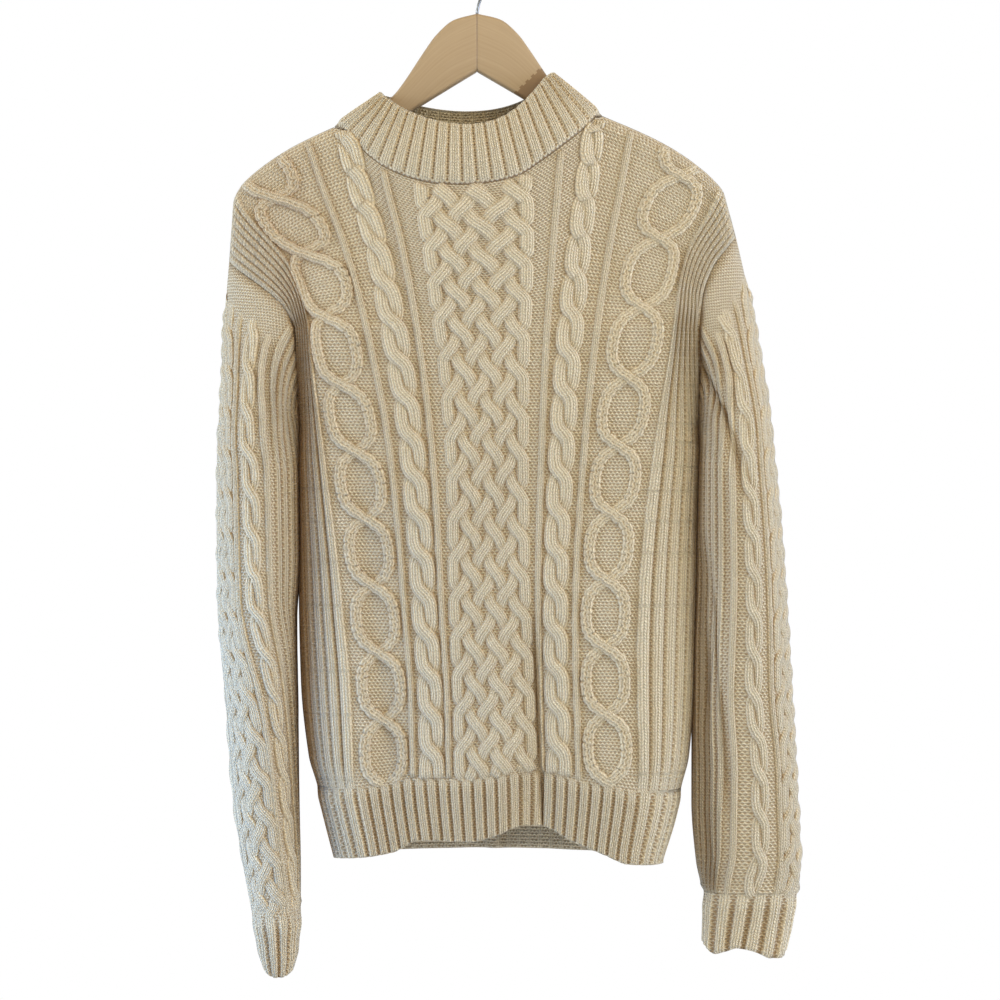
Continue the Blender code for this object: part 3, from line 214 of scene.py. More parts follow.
# Armhole seam, from the shoulder zone's first row to the shoulder end.
ARMHOLE = {"share":      (0.0, 0.30, 0.62, 0.85, 1.0),
           "right_x":    (-161.5, -172.0, -195.0, -213.0, -223.0),
           "right_drop": (346.0, 327.0, 307.0, 294.0, 285.0),
           "left_x":     (198.0, 201.0, 211.0, 224.0, 233.0),
           "left_drop":  (346.0, 318.0, 291.0, 274.0, 263.0)}
ARMHOLE_BAND = 12.0        # least width left for the side ribs beside the armhole
# How far the armhole seam stands in front of or behind the middle, from underarm to shoulder end.
ARMHOLE_DEPTH = {"level": (180, 196, 240, 290, 346, 390, 420, 436),
                 "depth": (0.0, 13.0, 25.0, 32.0, 31.0, 22.0, 11.0, 0.0)}

# Half depth of the body at each level, front and back.
DEPTH = {"level": (346, 454, 589, 740, 815),
         "front": (39.0, 45.0, 49.0, 50.0, 45.0),
         "back":  (35.0, 41.0, 44.0, 45.0, 41.0)}
SHOULDER_DEPTH = 13.0      # half depth of the cloth where it hangs off the hanger's top edge
SHOULDER_ROLL = 12.0       # length over which it rolls across that edge

# %% Neck, hem and collar
NECK_HALF = 64.6           # the neck runs between the columns this far from the centre
NECK_ON_WOOD = 62.0        # from here to its end the neck seam crosses over the hanger
TOP_X = {"column": (-130, -126, -111, -86, -64.6, -45, -31, 0, 20, 34, 44, 56, 64.6, 88, 102,
                    116, 130),
         "x": (-218.5, -215.5, -202.0, -168.0, -128.5, -87.3, -59.4, -9.9, 32.4, 57.6, 76.5, 101.0,
               113.0, 162.0, 184.5, 205.0, 220.0)}
NECK_DROP = {"column": (-62, -52, -45, -31, -16, 0, 20, 34, 44, 56, 62),
             "front": (161.9, 187.0, 200.0, 213.0, 218.5, 219.5, 213.0, 197.5, 183.5, 163.0, 152.3),
             "back": (161.9, 179.0, 187.0, 194.0, 197.0, 197.0, 192.0, 183.0, 174.0, 159.5, 152.3)}
NECK_DEPTH = {"front": 36.0, "back": 27.0}
HEM = {"column": (-185, -107, -79, -29, -4, 25, 46, 72, 107, 133, 185),
       "front": (821.0, 812.0, 801.5, 802.0, 797.0, 788.0, 789.0, 801.0, 813.0, 822.0, 826.0),
       "back": (821.0, 818.0, 817.0, 817.0, 817.0, 817.0, 817.0, 818.0, 820.0, 823.0, 826.0)}
RIM_CENTRE = -9.0
RIM_HALF = 76.0
RIM_DEPTH = {"front": 34.0, "back": 25.0}
RIM_DROP = {"right": 129.5, "left": 112.5, "front": 165.0, "back": 146.0}

# %% Sleeves
SLEEVE = {
    "right": {"drop":   (262, 320, 365, 410, 460, 500, 589, 679, 769, 823, 873, 905, 924),
              "inner":  (-168, -164, -162.5, -161.6, -161.3, -161.3, -162.2, -163.4, -162.6,
                         -161.5, -161, -162, -166),
              "outer":  (-223.5, -226.8, -227, -228, -230, -230.4, -229.6, -222.8, -216, -208,
                         -199, -195.3, -190),
              "depth":  (46, 72, 94, 108, 114, 114, 110, 102, 92, 82, 73, 68, 62),
              "middle": (0, -1, -2, -3, -4, -5, -6, -6, -5, -4, -3, -3, -3)},
    "left": {"drop":   (240, 320, 365, 410, 460, 500, 589, 679, 769, 823, 852, 880, 905),
             "inner":  (204, 203, 202.5, 202, 201.4, 200.5, 198.5, 195.8, 195.4, 199.5, 204.7,
                        203.5, 203),
             "outer":  (235.5, 248.5, 253.5, 259.5, 264, 268.2, 275, 280.5, 285.5, 288, 285.5,
                        281.7, 276),
             "depth":  (40, 72, 94, 106, 110, 108, 98, 82, 64, 54, 44, 42, 46),
             "middle": (0, -1, -2, -3, -4, -5, -6, -7, -8, -8, -8, -8, -8)}}
CUFF_TOP = {"right": 868.0, "left": 850.0}
# The sleeve's middle line turns about the arm: angle from the inner side, down the run.
SLEEVE_LINE = {"run": (0.0, 0.03, 0.12, 0.2, 0.4, 0.55, 0.7, 1.0),
               "right": (180.0, 180.0, 157.0, 146.0, 143.0, 124.0, 112.0, 108.0),
               "left": (180.0, 180.0, 159.0, 153.0, 155.0, 155.0, 163.0, 166.0)}
SLEEVE_CAP = 460.0         # drop at which the sleeve has become a plain tube
CAP_RISE = 60              # height of the cap above the underarm, as counted for its rows
SLEEVE_PLAIT_STRANDS = 5
SLEEVE_PLAIT_SPACING = 8.6
SLEEVE_FINE_AT = (26.0, 58.0)
SLEEVE_ROPE_AT = 42.0
SLEEVE_ROPE_SIZE = 0.72    # width of a sleeve's rope, as a share of the body's
SLEEVE_ROWS = {"number": (-7, 0, 20), "drop": (134.6, 385.2, 1101.2)}   # crossings of its cables
SLEEVE_RIBS_FROM = 66.0    # plain ribs from here to the underarm seam
SLEEVE_HALF = 160.0        # half the sleeve's knitted width

# %% Hanger and hook
HANGER = {"reach":  (0.0, 20.7, 36.9, 46.8, 55.8, 64.8, 73.8, 87.3, 105.3, 118.8, 135, 169, 203,
                     210, 214),
          "top":    (62.0, 67.4, 80.9, 94.4, 107.9, 121.4, 133.1, 145.0, 155.5, 161.8, 168.6, 185.2,
                     208.5, 215.0, 221.0),
          "bottom": (114.2, 126.5, 136.2, 142.1, 147.5, 153.2, 158.8, 167.2, 176.5, 183.2, 191.2,
                     207.6, 229.0, 232.0, 229.5)}
HANGER_TILT = 0.013        # rise towards the wearer's left, per unit of reach
HANGER_THICK = 11.0
HANGER_EDGE = 3.6          # rounding of the wood's long edges
CLOTH_ON_WOOD = 0.5        # air between the wood's top edge and the cloth's plain inside

# Hook: bent wire.
WIRE = 2.7
HOOK_INSIDE = 19.0         # inside radius of the bend
HOOK_SINK = 0.35           # air between the wire's foot and the wood

# %% [markdown]
# ## Smooth curves through tables
#
# A table names a few places, and the cloth needs every place between them. A cubic curve that never
# swings past its values suits cloth, because it invents no bumps. `ease` is a soft step, and `bump`
# is the round top of a yarn.

# %% Curve helpers
def through(knots, values, at):
    """Smooth curve through a table that never swings past its values."""
    knots = np.asarray(knots, float)
    values = np.asarray(values, float)
    at = np.clip(np.asarray(at, float), knots[0], knots[-1])
    step = np.diff(knots)
    slope = np.diff(values) / step
    before, after = slope[:-1], slope[1:]
    tangent = np.concatenate(([slope[0]], np.zeros(len(before)), [slope[-1]]))
    same = before * after > 1e-12
    far, near = 2 * step[1:] + step[:-1], step[1:] + 2 * step[:-1]
    safe_before = np.where(same, before, 1.0)
    safe_after = np.where(same, after, 1.0)
    mean = (far + near) / (far / safe_before + near / safe_after)
    tangent[1:-1] = np.where(same, mean, 0.0)
    span = np.clip(np.searchsorted(knots, at, side="right") - 1, 0, len(step) - 1)
    t = (at - knots[span]) / step[span]
    low, high = values[span], values[span + 1]
    start, end = tangent[span] * step[span], tangent[span + 1] * step[span]
    return (low * (1 + 2 * t) * (1 - t) ** 2 + start * t * (1 - t) ** 2
            + high * t * t * (3 - 2 * t) + end * t * t * (t - 1))


def ease(low, high, value):
    """Nought below low, one above high, and smooth between them."""
    t = np.clip((np.asarray(value, float) - low) / (high - low), 0.0, 1.0)
    return t * t * (3 - 2 * t)


def bump(distance, radius):
    """Round section of a strand: one on its middle line, nought at its edge."""
    return np.sqrt(np.clip(1 - (np.asarray(distance) / radius) ** 2, 0.0, 1.0))


def unit(vectors):
    """The same vectors, one long."""
    return vectors / np.maximum(np.linalg.norm(vectors, axis=-1, keepdims=True), 1e-9)


def lengths(line):
    """Distance along a line of points from its start to each point."""
    return np.concatenate(([0.0], np.cumsum(np.linalg.norm(np.diff(line, axis=0), axis=1))))


def both(one, two):
    """Two values as arrays of decimal numbers of one shape."""
    return np.broadcast_arrays(np.asarray(one, float), np.asarray(two, float))


def on_loop(at, places, loop):
    """Points of a closed line of points at some places along it."""
    return np.stack([np.interp(at, places, loop[:, axis]) for axis in range(3)], axis=-1)


print("half way down the side seam:", through(SIDE["drop"], SIDE["left"], 589.0))

# %% [markdown]
# ## Folds of the hanging body
#
# Cloth that hangs from a hanger gathers in long soft troughs below the arms and near the hem. They
# could be simulated, but the knitting has to follow them stitch by stitch, so they are listed one
# by one, each as a smooth trough (negative) or swell with its own length, lean and width.

# %% Folds
FOLDS = {"panel":  ("front", "front", "front", "front", "back", "back",
                    "front", "front", "front", "front", "back", "back", "back"),
         "x":      (54.0, -70.0, 120.0, 20.0, -60.0, 70.0,
                    49.0, -112.0, 152.0, -30.0, 10.0, -128.0, 148.0),
         "lean":   (0.0, 0.0, 0.0, 0.0, 0.0, 0.0,
                    0.045, 0.10, -0.03, -0.02, 0.03, 0.08, -0.05),
         "top":    (560.0, 480.0, 520.0, 600.0, 480.0, 560.0,
                    580.0, 400.0, 470.0, 660.0, 600.0, 400.0, 480.0),
         "bottom": (840.0, 840.0, 840.0, 840.0, 840.0, 840.0,
                    835.0, 700.0, 800.0, 840.0, 835.0, 720.0, 800.0),
         "width":  (20.0, 30.0, 34.0, 24.0, 28.0, 26.0,
                    3.6, 13.0, 9.0, 11.0, 5.0, 12.0, 10.0),
         "raise":  (-5.5, -5.0, 4.0, 3.0, -6.0, -5.0,
                    -4.6, -3.0, -2.4, -2.0, -3.6, -3.0, -2.6)}
WAVES = {"across": (0.043, 0.071, 0.019), "down": (0.017, 0.028, 0.037),
         "shift": (0.4, 2.1, 4.0), "raise": (0.7, 0.45, 0.8)}


def folds(panel, x, drop):
    """Soft troughs and swells of the body, as listed, and its slight unevenness."""
    raised = np.zeros(np.broadcast(x, drop).shape)
    for where, middle, lean, top, bottom, width, height in zip(*FOLDS.values()):
        if where == panel:
            run = ease(top, top + 90, drop) * (1 - ease(bottom, bottom + 60, drop))
            line = middle + lean * (drop - top)
            raised = raised + height * run * np.exp(-((x - line) / width) ** 2)
    side = 1.0 if panel == "front" else 2.3
    for across, down, shift, height in zip(*WAVES.values()):
        raised = raised + height * np.sin(across * x * side + down * drop + shift * side)
    return raised


print(len(FOLDS["x"]), "folds")

# %% [markdown]
# ## Body panels
#
# The front and the back are knitted flat from the hem up. On the hanger their columns fan out
# towards the shoulders, and their last rows lie along the hanger and round the neck. So a point is
# found from its column and level in three steps: its place in front view, then its depth, and last
# the turn of the outer 55 mm round the side of the body.

# %% Outline of the wood under the shoulders
def hanger_edge(x, edge):
    """Drop of the hanger's top or bottom edge at x."""
    return through(HANGER["reach"], HANGER[edge], np.abs(x)) - HANGER_TILT * np.asarray(x)


# %% Front view of a panel
def shoulder_share(level):
    """How far a row has turned up towards the shoulders: nought at the chest, one at the top."""
    return np.clip((SHOULDER_ZONE - level) / (SHOULDER_ZONE - TOP_LEVEL), 0.0, 1.0)


def top_edge(column, panel):
    """Front view of the panel's last row: along the hanger, and down round the neck."""
    x = through(TOP_X["column"], TOP_X["x"], column)
    on_hanger = hanger_edge(x, "top") - CLOTH_ON_WOOD - WALL * 1.16
    neck = through(NECK_DROP["column"], NECK_DROP[panel], column)
    return x, np.where(np.abs(column) < NECK_ON_WOOD, neck, on_hanger)


def hem_hang(column, panel):
    """How far the hem of a column hangs below its nominal level."""
    return through(HEM["column"], HEM[panel], column) - HEM_EDGE


def hung_level(level, hem):
    """Drop of a level below the shoulders, where the hem's own hang is taken up near it."""
    return np.maximum(level, SHOULDER_ZONE) + hem * ease(HEM_TOP - 60, HEM_EDGE, level)


def inner_column(column, level, panel):
    """Front view of a column between the two bands of side ribs."""
    share = shoulder_share(level)
    top_x, top_drop = top_edge(column, panel)
    low = hung_level(level, hem_hang(column, panel))
    drop = low + (top_drop - SHOULDER_ZONE) * share
    centre = through(FAN["drop"], FAN["centre"], drop)
    spread = through(FAN["drop"], FAN["spread"], drop)
    x = centre + column * spread
    top_centre = through(FAN["drop"], FAN["centre"], top_drop)
    top_spread = through(FAN["drop"], FAN["spread"], top_drop)
    x = x + (top_x - top_centre - column * top_spread) * share
    return x, drop


def edge_column(arm):
    """Last column of a panel on the side of this arm."""
    return -PANEL_HALF if arm == "right" else PANEL_HALF


def seam_line(level, arm, panel):
    """Front view of the side seam and, above the underarm, of the armhole seam."""
    share = shoulder_share(level)
    low = hung_level(level, hem_hang(edge_column(arm), panel))
    x = np.where(share > 0, through(ARMHOLE["share"], ARMHOLE[arm + "_x"], share),
                 through(SIDE["drop"], SIDE[arm], low))
    drop = np.where(share > 0, through(ARMHOLE["share"], ARMHOLE[arm + "_drop"], share), low)
    return x, drop


print("hem edge at the middle:", inner_column(0.0, HEM_EDGE, "front")[1])

# %% Depth of a panel
def panel_depth(column, level, panel):
    """How far an inner column stands in front of or behind the middle plane."""
    share = shoulder_share(level)
    chest = through(DEPTH["level"], DEPTH[panel], np.maximum(level, SHOULDER_ZONE))
    neck = NECK_DEPTH[panel] * np.sqrt(np.clip(1 - (column / NECK_HALF) ** 2, 0, 1))
    top = np.maximum(SHOULDER_DEPTH, neck)
    depth = chest + (top - chest) * share ** 0.8
    x, drop = inner_column(column, level, panel)
    top_x, top_drop = top_edge(column, panel)
    below = np.hypot(x - top_x, drop - top_drop)
    rolled = bump(1 - np.clip(below / SHOULDER_ROLL, 0, 1), 1.0)
    over = ease(NECK_ON_WOOD, NECK_HALF, np.abs(column))
    return depth * (1 + (rolled - 1) * over) + folds(panel, x, drop)


def between_seams(x, drop, level, right_x, left_x):
    """Draws the outermost columns closer together where the armholes cut into the panel."""
    centre = through(FAN["drop"], FAN["centre"], drop)
    side = np.where(x < centre, -1.0, 1.0)
    seam = np.where(x < centre, right_x, left_x)
    room = side * (seam - centre) - ARMHOLE_BAND
    free = 0.8 * room
    away = side * (x - centre)
    drawn = free + (room - free) * np.tanh((away - free) / (room - free))
    share = 1 - ease(0.45, 0.95, shoulder_share(level))
    return x + side * np.where(away > free, drawn - away, 0.0) * share


def outwards_of(panel):
    """Way out of a panel along y: towards the front or the back."""
    return -1.0 if panel == "front" else 1.0


def sharp_ground(column, level, panel):
    """Outer ground surface of a panel, before its relief. Returns points in millimetres."""
    column, level = both(column, level)
    flat = np.clip(column, -SIDE_RIBS_FROM, SIDE_RIBS_FROM)
    x, drop = inner_column(flat, level, panel)
    right = seam_line(level, "right", panel)
    left = seam_line(level, "left", panel)
    x = between_seams(x, drop, level, right[0], left[0])
    depth = panel_depth(flat, level, panel)
    turn = np.clip((np.abs(column) - SIDE_RIBS_FROM) / (PANEL_HALF - SIDE_RIBS_FROM), 0, 1)
    arm = ease(UNDERARM + 30, SHOULDER_ZONE, level)
    # Below the underarm the side is a quarter round; beside the armhole it is flat.
    sideways = (1 - np.sin(turn * math.pi / 2)) * (1 - arm) + (1 - turn) * arm
    outwards = np.cos(turn * math.pi / 2) * (1 - arm) + (1 - turn) * arm
    seam_x = np.where(column < 0, right[0], left[0])
    seam_drop = np.where(column < 0, right[1], left[1])
    seam_depth = through(ARMHOLE_DEPTH["level"], ARMHOLE_DEPTH["depth"], level)
    x = seam_x + (x - seam_x) * sideways
    drop = seam_drop + (drop - seam_drop) * (1 - turn)
    depth = seam_depth + (depth - seam_depth) * outwards
    return np.stack((x, outwards_of(panel) * (depth + SEAM_GAP / 2), -drop), axis=-1)


ROUND_OFF = (-11, 11, -5, 5)   # the corner is the mean of the ground at these columns beside it


def panel_ground(column, level, panel):
    """Ground of a panel, with its corner at the end of the shoulder rounded off."""
    column, level = both(column, level)
    place = sharp_ground(column, level, panel)
    share = (0.9 * np.exp(-((np.abs(column) - SIDE_RIBS_FROM) / 15) ** 2)
             * (1 - ease(190, 250, level)))
    near = share > 0.01
    if near.any():
        columns, levels, share = column[near], level[near], share[near][:, None]
        round_off = sum(sharp_ground(columns + aside, levels, panel) for aside in ROUND_OFF) / 4
        place[near] = place[near] * (1 - share) + round_off * share
    return place


def panel_normal(column, level, panel):
    """Outward unit normal of a panel's ground."""
    column = np.clip(column, -PANEL_HALF + 0.5, PANEL_HALF - 0.5)
    level = np.clip(level, TOP_LEVEL + 0.6, HEM_EDGE - 0.6)
    step = 0.4
    across = panel_ground(column + step, level, panel) - panel_ground(column - step, level, panel)
    along = panel_ground(column, level + step, panel) - panel_ground(column, level - step, panel)
    return unit(np.cross(across, along)) * outwards_of(panel)


print("chest at the middle:", panel_ground(0.0, 450.0, "front").round(1))

# %% [markdown]
# ## Seams
#
# Two walls that meet share the same line of points. Each stops short of the other by the seam's
# gap, along the way between them, and both get thinner there, along one common way inwards.

# %% Seams between walls
def closed_loop(front, back):
    """Joins a front line and a back line, which share both ends in the middle plane."""
    front = front.copy()
    front[[0, -1], 1] = 0.0
    return np.concatenate((front, back[::-1][1:-1]))


def seam_ways(points, out, away, other_out, other_away, middle):
    """At a seam of two walls: its points, the way into both walls and the way between them."""
    inward = -(out + other_out)
    apart = unit(other_away) - unit(away)
    for ways in (inward, apart):
        ways[list(middle), 1] = 0.0
    return points, unit(inward), unit(apart)


def first_row(edges, inside):
    """Row of a wall that starts at the edges of both panels, moved off by the seam's gap."""
    return closed_loop(*(points + inward * inside + apart * SEAM_GAP
                         for points, inward, apart in edges))


def seam_wall(column, level):
    """Thickness of a panel's wall: full inside the panel, thinner at its sewn edges."""
    near_edge = np.minimum(PANEL_HALF - np.abs(column), (level - TOP_LEVEL) * 0.9)
    return SEAM_WALL + (WALL - SEAM_WALL) * ease(0.0, 10.0, near_edge)


# %% [markdown]
# ## Collar surface
#
# The mock neck is a short ribbed tube that is picked up round the neck seam and leans inwards to a
# smaller rim. A share from 0 to 1 goes round it: the front first, then the back.

# %% Collar
def neck_shares(columns):
    """Share of the way round the neck at each column: half for the front, half for the back."""
    found = []
    for panel, start in (("front", 0.0), ("back", 0.5)):
        fine = np.linspace(-NECK_HALF, NECK_HALF, 241)
        line = lengths(panel_ground(fine, TOP_LEVEL, panel))
        at = np.interp(columns, fine, line) / line[-1] / 2
        found.append(at if panel == "front" else start + (0.5 - at[::-1])[1:-1])
    return np.concatenate(found)


def neck_seam(share):
    """Neck seam at a share of the way round."""
    fine = np.linspace(-NECK_HALF, NECK_HALF, 241)
    place = np.append(neck_shares(fine), 1.0)
    loop = closed_loop(*(panel_ground(fine, TOP_LEVEL, panel) for panel in ("front", "back")))
    loop = np.concatenate((loop, loop[:1]))
    share = np.asarray(share, float) % 1.0
    return on_loop(share, place, loop)


def collar_rim(share):
    """Rim of the collar, with the same shares as the neck seam."""
    angle = np.asarray(share, float) * 2 * math.pi
    facing = np.sin(angle)                     # one at the front, minus one at the back
    sideways = -np.cos(angle)                  # minus one on the wearer's right
    x = RIM_CENTRE + RIM_HALF * sideways
    depth = np.where(facing > 0, RIM_DEPTH["front"], RIM_DEPTH["back"])
    depth = depth * np.sign(facing) * np.abs(facing) ** 0.7
    side_drop = (RIM_DROP["right"] * (1 - sideways) + RIM_DROP["left"] * (1 + sideways)) / 2
    low = np.where(facing > 0, RIM_DROP["front"], RIM_DROP["back"])
    steeper = 1.3 + 0.9 * np.clip(sideways, 0, 1) * (facing > 0)
    drop = side_drop + (low - side_drop) * np.abs(facing) ** steeper
    rounded = 3.5 * np.clip(np.abs(sideways) - 0.9, 0, 1) / 0.1
    return np.stack((x, -depth, -drop - rounded), axis=-1)


def collar_ground(share, height):
    """Outer ground surface of the collar; height runs from 0 at the seam to 1 at the rim."""
    height = np.asarray(height, float)[..., None]
    seam, rim = neck_seam(share), collar_rim(share)
    swell = 4.0 * np.sin(math.pi * height)
    away = (seam + rim) / 2 - np.array([RIM_CENTRE, 0.0, 0.0])
    away = away * np.array([0.0, 1.0, 0.0])
    away = away / np.maximum(np.linalg.norm(away, axis=-1, keepdims=True), 8.0)
    return seam + (rim - seam) * height + away * swell


def collar_frame(share, height):
    """Unit vectors of the collar's surface: upwards along it, and out of it."""
    low = np.clip(height, 0.03, 0.97)
    across = collar_ground(share + 0.004, low) - collar_ground(share - 0.004, low)
    along = collar_ground(share, low + 0.02) - collar_ground(share, low - 0.02)
    return unit(along), unit(np.cross(across, along))


def neck_edge(columns, panel):
    """Neck edge of a panel: its points, the way into the wall and the way to the collar."""
    points = panel_ground(columns, TOP_LEVEL, panel)
    below = unit(panel_ground(columns, TOP_LEVEL + 3, panel) - points)
    out = panel_normal(columns, TOP_LEVEL, panel)
    shares_all = neck_shares(columns)
    front = len(columns)
    share = shares_all[:front]
    if panel == "back":
        share = np.concatenate(([1.0], shares_all[front:][::-1], [0.5]))
    up, collar_out = collar_frame(share, np.zeros(front))
    return seam_ways(points, out, below, collar_out, up, (0, -1))


def collar_start(columns, inside):
    """First row of the collar: the neck edge of the panels, moved off by the seam's gap."""
    return first_row([neck_edge(columns, panel) for panel in ("front", "back")], inside)


print("neck seam, front middle:", neck_seam(0.25).round(1))

# %% [markdown]
# ## Sleeve surface
#
# A sleeve is a tube that hangs beside the body. Its first row is the armhole seam, and the cap
# blends from that seam to the plain tube. Its chart is counted from the middle line on the outside
# of the arm, and the sleeve on the wearer's right has turned so that this line faces the front.

# %% Sleeve tube
PRESSED = {"right": 545.0, "left": 615.0}      # the sleeve leans on the body down to this drop


def lean_on_body(drop, arm):
    """How far the sleeve's inner side moves over to touch the body."""
    inner = through(SLEEVE[arm]["drop"], SLEEVE[arm]["inner"], drop)
    body = through(SIDE["drop"], SIDE[arm], drop)
    end = PRESSED[arm]
    lean = np.clip(np.abs(inner - body) + 0.3, 0, 4.5)
    return lean * ease(400, 440, drop) * (1 - ease(end, end + 60, drop))


def sleeve_section(drop, arm):
    """Inner and outer x of a sleeve at a drop, and its depth."""
    table = SLEEVE[arm]
    return [through(table["drop"], table[which], drop) for which in ("inner", "outer", "depth")]


def faces_body(angle, drop):
    """Share by which a sleeve lies against the body, where its relief is pressed flat."""
    return np.clip(np.cos(angle), 0, 1) ** 8 * (1 - ease(600, 690, drop))


def tube(angle, drop, arm, inset=0.0):
    """Section of a sleeve as a tube: angle 0 faces the body, 90 degrees the front."""
    inner, outer, depth = sleeve_section(drop, arm)
    wide, deep = np.abs(inner - outer) / 2 - inset, depth / 2 - inset
    middle = through(SLEEVE[arm]["drop"], SLEEVE[arm]["middle"], drop)
    cos, sin = np.cos(angle), np.sin(angle)
    to_body = 1.0 if arm == "right" else -1.0
    x = (inner + outer) / 2 + to_body * wide * np.sign(cos) * np.abs(cos) ** 0.85
    x = x + to_body * lean_on_body(drop, arm) * np.clip(cos, 0, 1) ** 2
    y = middle - deep * np.sign(sin) * np.abs(sin) ** 0.92
    return np.stack(np.broadcast_arrays(x, y, -np.asarray(drop, float)), axis=-1)


def armhole_angles(levels, arm):
    """Angle of each point of the armhole: half a turn up the front, half down the back."""
    fine = np.linspace(UNDERARM, TOP_LEVEL, 181)
    found = []
    for panel in ("front", "back"):
        line = lengths(panel_ground(edge_column(arm), fine, panel))
        at = np.interp(-levels, -fine, line) / line[-1] * math.pi
        found.append(at if panel == "front" else (2 * math.pi - at[::-1])[1:-1])
    return np.concatenate(found)


def armhole(angle, arm):
    """Armhole seam at an angle."""
    fine = np.linspace(UNDERARM, TOP_LEVEL, 181)
    place = np.append(armhole_angles(fine, arm), 2 * math.pi)
    column = edge_column(arm)
    loop = closed_loop(*(panel_ground(column, fine, panel) for panel in ("front", "back")))
    loop = np.concatenate((loop, loop[:1]))
    angle = np.asarray(angle, float) % (2 * math.pi)
    return on_loop(angle, place, loop)


# %% Sleeve folds
SLEEVE_FOLDS = {"arm": ("left",) * 5 + ("right",) * 4,
                "angle": (50.0, 48.0, 36.0, 40.0, 250.0, 50.0, 128.0, 300.0, 236.0),
                "lean": (0.28, 0.10, 0.0, 0.0, 0.0, 0.0, 0.0, 0.0, 0.0),
                "top": (335.0, 545.0, 520.0, 600.0, 420.0, 380.0, 520.0, 430.0, 600.0),
                "bottom": (510.0, 800.0, 720.0, 860.0, 700.0, 640.0, 860.0, 680.0, 860.0),
                "width": (10.0, 6.5, 15.0, 12.0, 16.0, 20.0, 14.0, 14.0, 12.0),
                "raise": (-6.0, -3.0, -4.5, -2.5, -4.0, -3.0, -1.6, -3.0, -2.4)}


def sleeve_folds(arm, angle, drop):
    """Soft troughs of a sleeve, as listed."""
    raised = np.zeros(np.broadcast(angle, drop).shape)
    for which, middle, lean, top, bottom, width, height in zip(*SLEEVE_FOLDS.values()):
        if which == arm:
            run = ease(top, top + 50, drop) * (1 - ease(bottom - 60, bottom, drop))
            turn = (np.degrees(angle) - middle - lean * (drop - top) + 180) % 360 - 180
            raised = raised + height * run * np.exp(-(turn / width) ** 2)
    return raised


# %% Sleeve chart
def sleeve_end(arm):
    """Drop of the cuff's edge."""
    return SLEEVE[arm]["drop"][-1]


def cap_share(arm):
    """Share of the sleeve's run that lies in its cap."""
    return (SLEEVE_CAP - UNDERARM + CAP_RISE) / (sleeve_end(arm) - UNDERARM)


def cuff_share(arm):
    """Share of the sleeve's run where its cuff starts."""
    down = (CUFF_TOP[arm] - SLEEVE_CAP) / (sleeve_end(arm) - SLEEVE_CAP)
    return cap_share(arm) + (1 - cap_share(arm)) * down


def sleeve_girth(drop, arm):
    """Length round the sleeve at a drop, by Ramanujan's rule for an ellipse."""
    inner, outer, depth = sleeve_section(drop, arm)
    wide, deep = np.abs(inner - outer) / 2, depth / 2
    return math.pi * (3 * (wide + deep) - np.sqrt((3 * wide + deep) * (wide + 3 * deep)))


def sleeve_angle(column, run, arm):
    """Angle of a knitted column: true width near the middle line, squeezed at the underarm."""
    nominal = SLEEVE_CAP + (sleeve_end(arm) - SLEEVE_CAP) * np.clip(run - 0.1, 0, 1) / 0.9
    half = sleeve_girth(nominal, arm) / 2
    away = np.abs(column)
    chart = SLEEVE_RIBS_FROM * np.minimum(1.0, 0.78 * half / SLEEVE_RIBS_FROM)
    in_ribs = (away - SLEEVE_RIBS_FROM) / (SLEEVE_HALF - SLEEVE_RIBS_FROM)
    across = np.where(in_ribs > 0, chart + (half - chart) * in_ribs,
                      away * chart / SLEEVE_RIBS_FROM)
    middle = np.radians(through(SLEEVE_LINE["run"], SLEEVE_LINE[arm], run))
    return middle - np.sign(column) * across / half * math.pi


# %% Sleeve surface
def sleeve_ground(angle, run, arm, inset=0.0):
    """Ground surface of a sleeve; run is 0 at the armhole seam and 1 at the cuff's edge."""
    angle, run = both(angle, run)
    seam = armhole(angle, arm)
    cap = cap_share(arm)
    in_cap = np.clip(run / cap, 0, 1)
    cap_drop = -seam[..., 2] + (SLEEVE_CAP + seam[..., 2]) * in_cap
    low_drop = SLEEVE_CAP + (sleeve_end(arm) - SLEEVE_CAP) * (run - cap) / (1 - cap)
    drop = np.where(run < cap, cap_drop, low_drop)
    place = tube(angle, drop, arm, inset)
    start = tube(angle, -seam[..., 2], arm)
    pull = (seam - start) * ((1 - in_cap) ** 2)[..., None]
    inward = tube(angle, drop, arm, inset + 1.0) - place
    return place + pull - inward * sleeve_folds(arm, angle, drop)[..., None]


def sleeve_frame(angle, run, arm):
    """Unit vectors of a sleeve's surface: down along it, and out of it."""
    low = np.clip(run, 0.004, 0.996)
    across = sleeve_ground(angle + 0.02, low, arm) - sleeve_ground(angle - 0.02, low, arm)
    along = sleeve_ground(angle, low + 0.003, arm) - sleeve_ground(angle, low - 0.003, arm)
    out = np.cross(across, along) if arm == "right" else np.cross(along, across)
    return unit(along), unit(out)


def armhole_edge(levels, arm, panel):
    """Armhole edge of a panel: its points, the way into the wall and the way to the sleeve."""
    column = edge_column(arm)
    points = panel_ground(column, levels, panel)
    within = unit(panel_ground(column * 0.99, levels, panel) - points)
    out = panel_normal(column, levels, panel)
    angles = armhole_angles(levels, arm)
    front = len(levels)
    angle = angles[:front]
    if panel == "back":
        angle = np.concatenate(([2 * math.pi], angles[front:][::-1], [math.pi]))
    down, sleeve_out = sleeve_frame(angle, np.zeros(front), arm)
    return seam_ways(points, out, within, sleeve_out, down, (0, -1))


def sleeve_start(levels, arm, inside):
    """First row of a sleeve: the armhole edge of the panels, moved off by the seam's gap."""
    return first_row([armhole_edge(levels, arm, panel) for panel in ("front", "back")], inside)


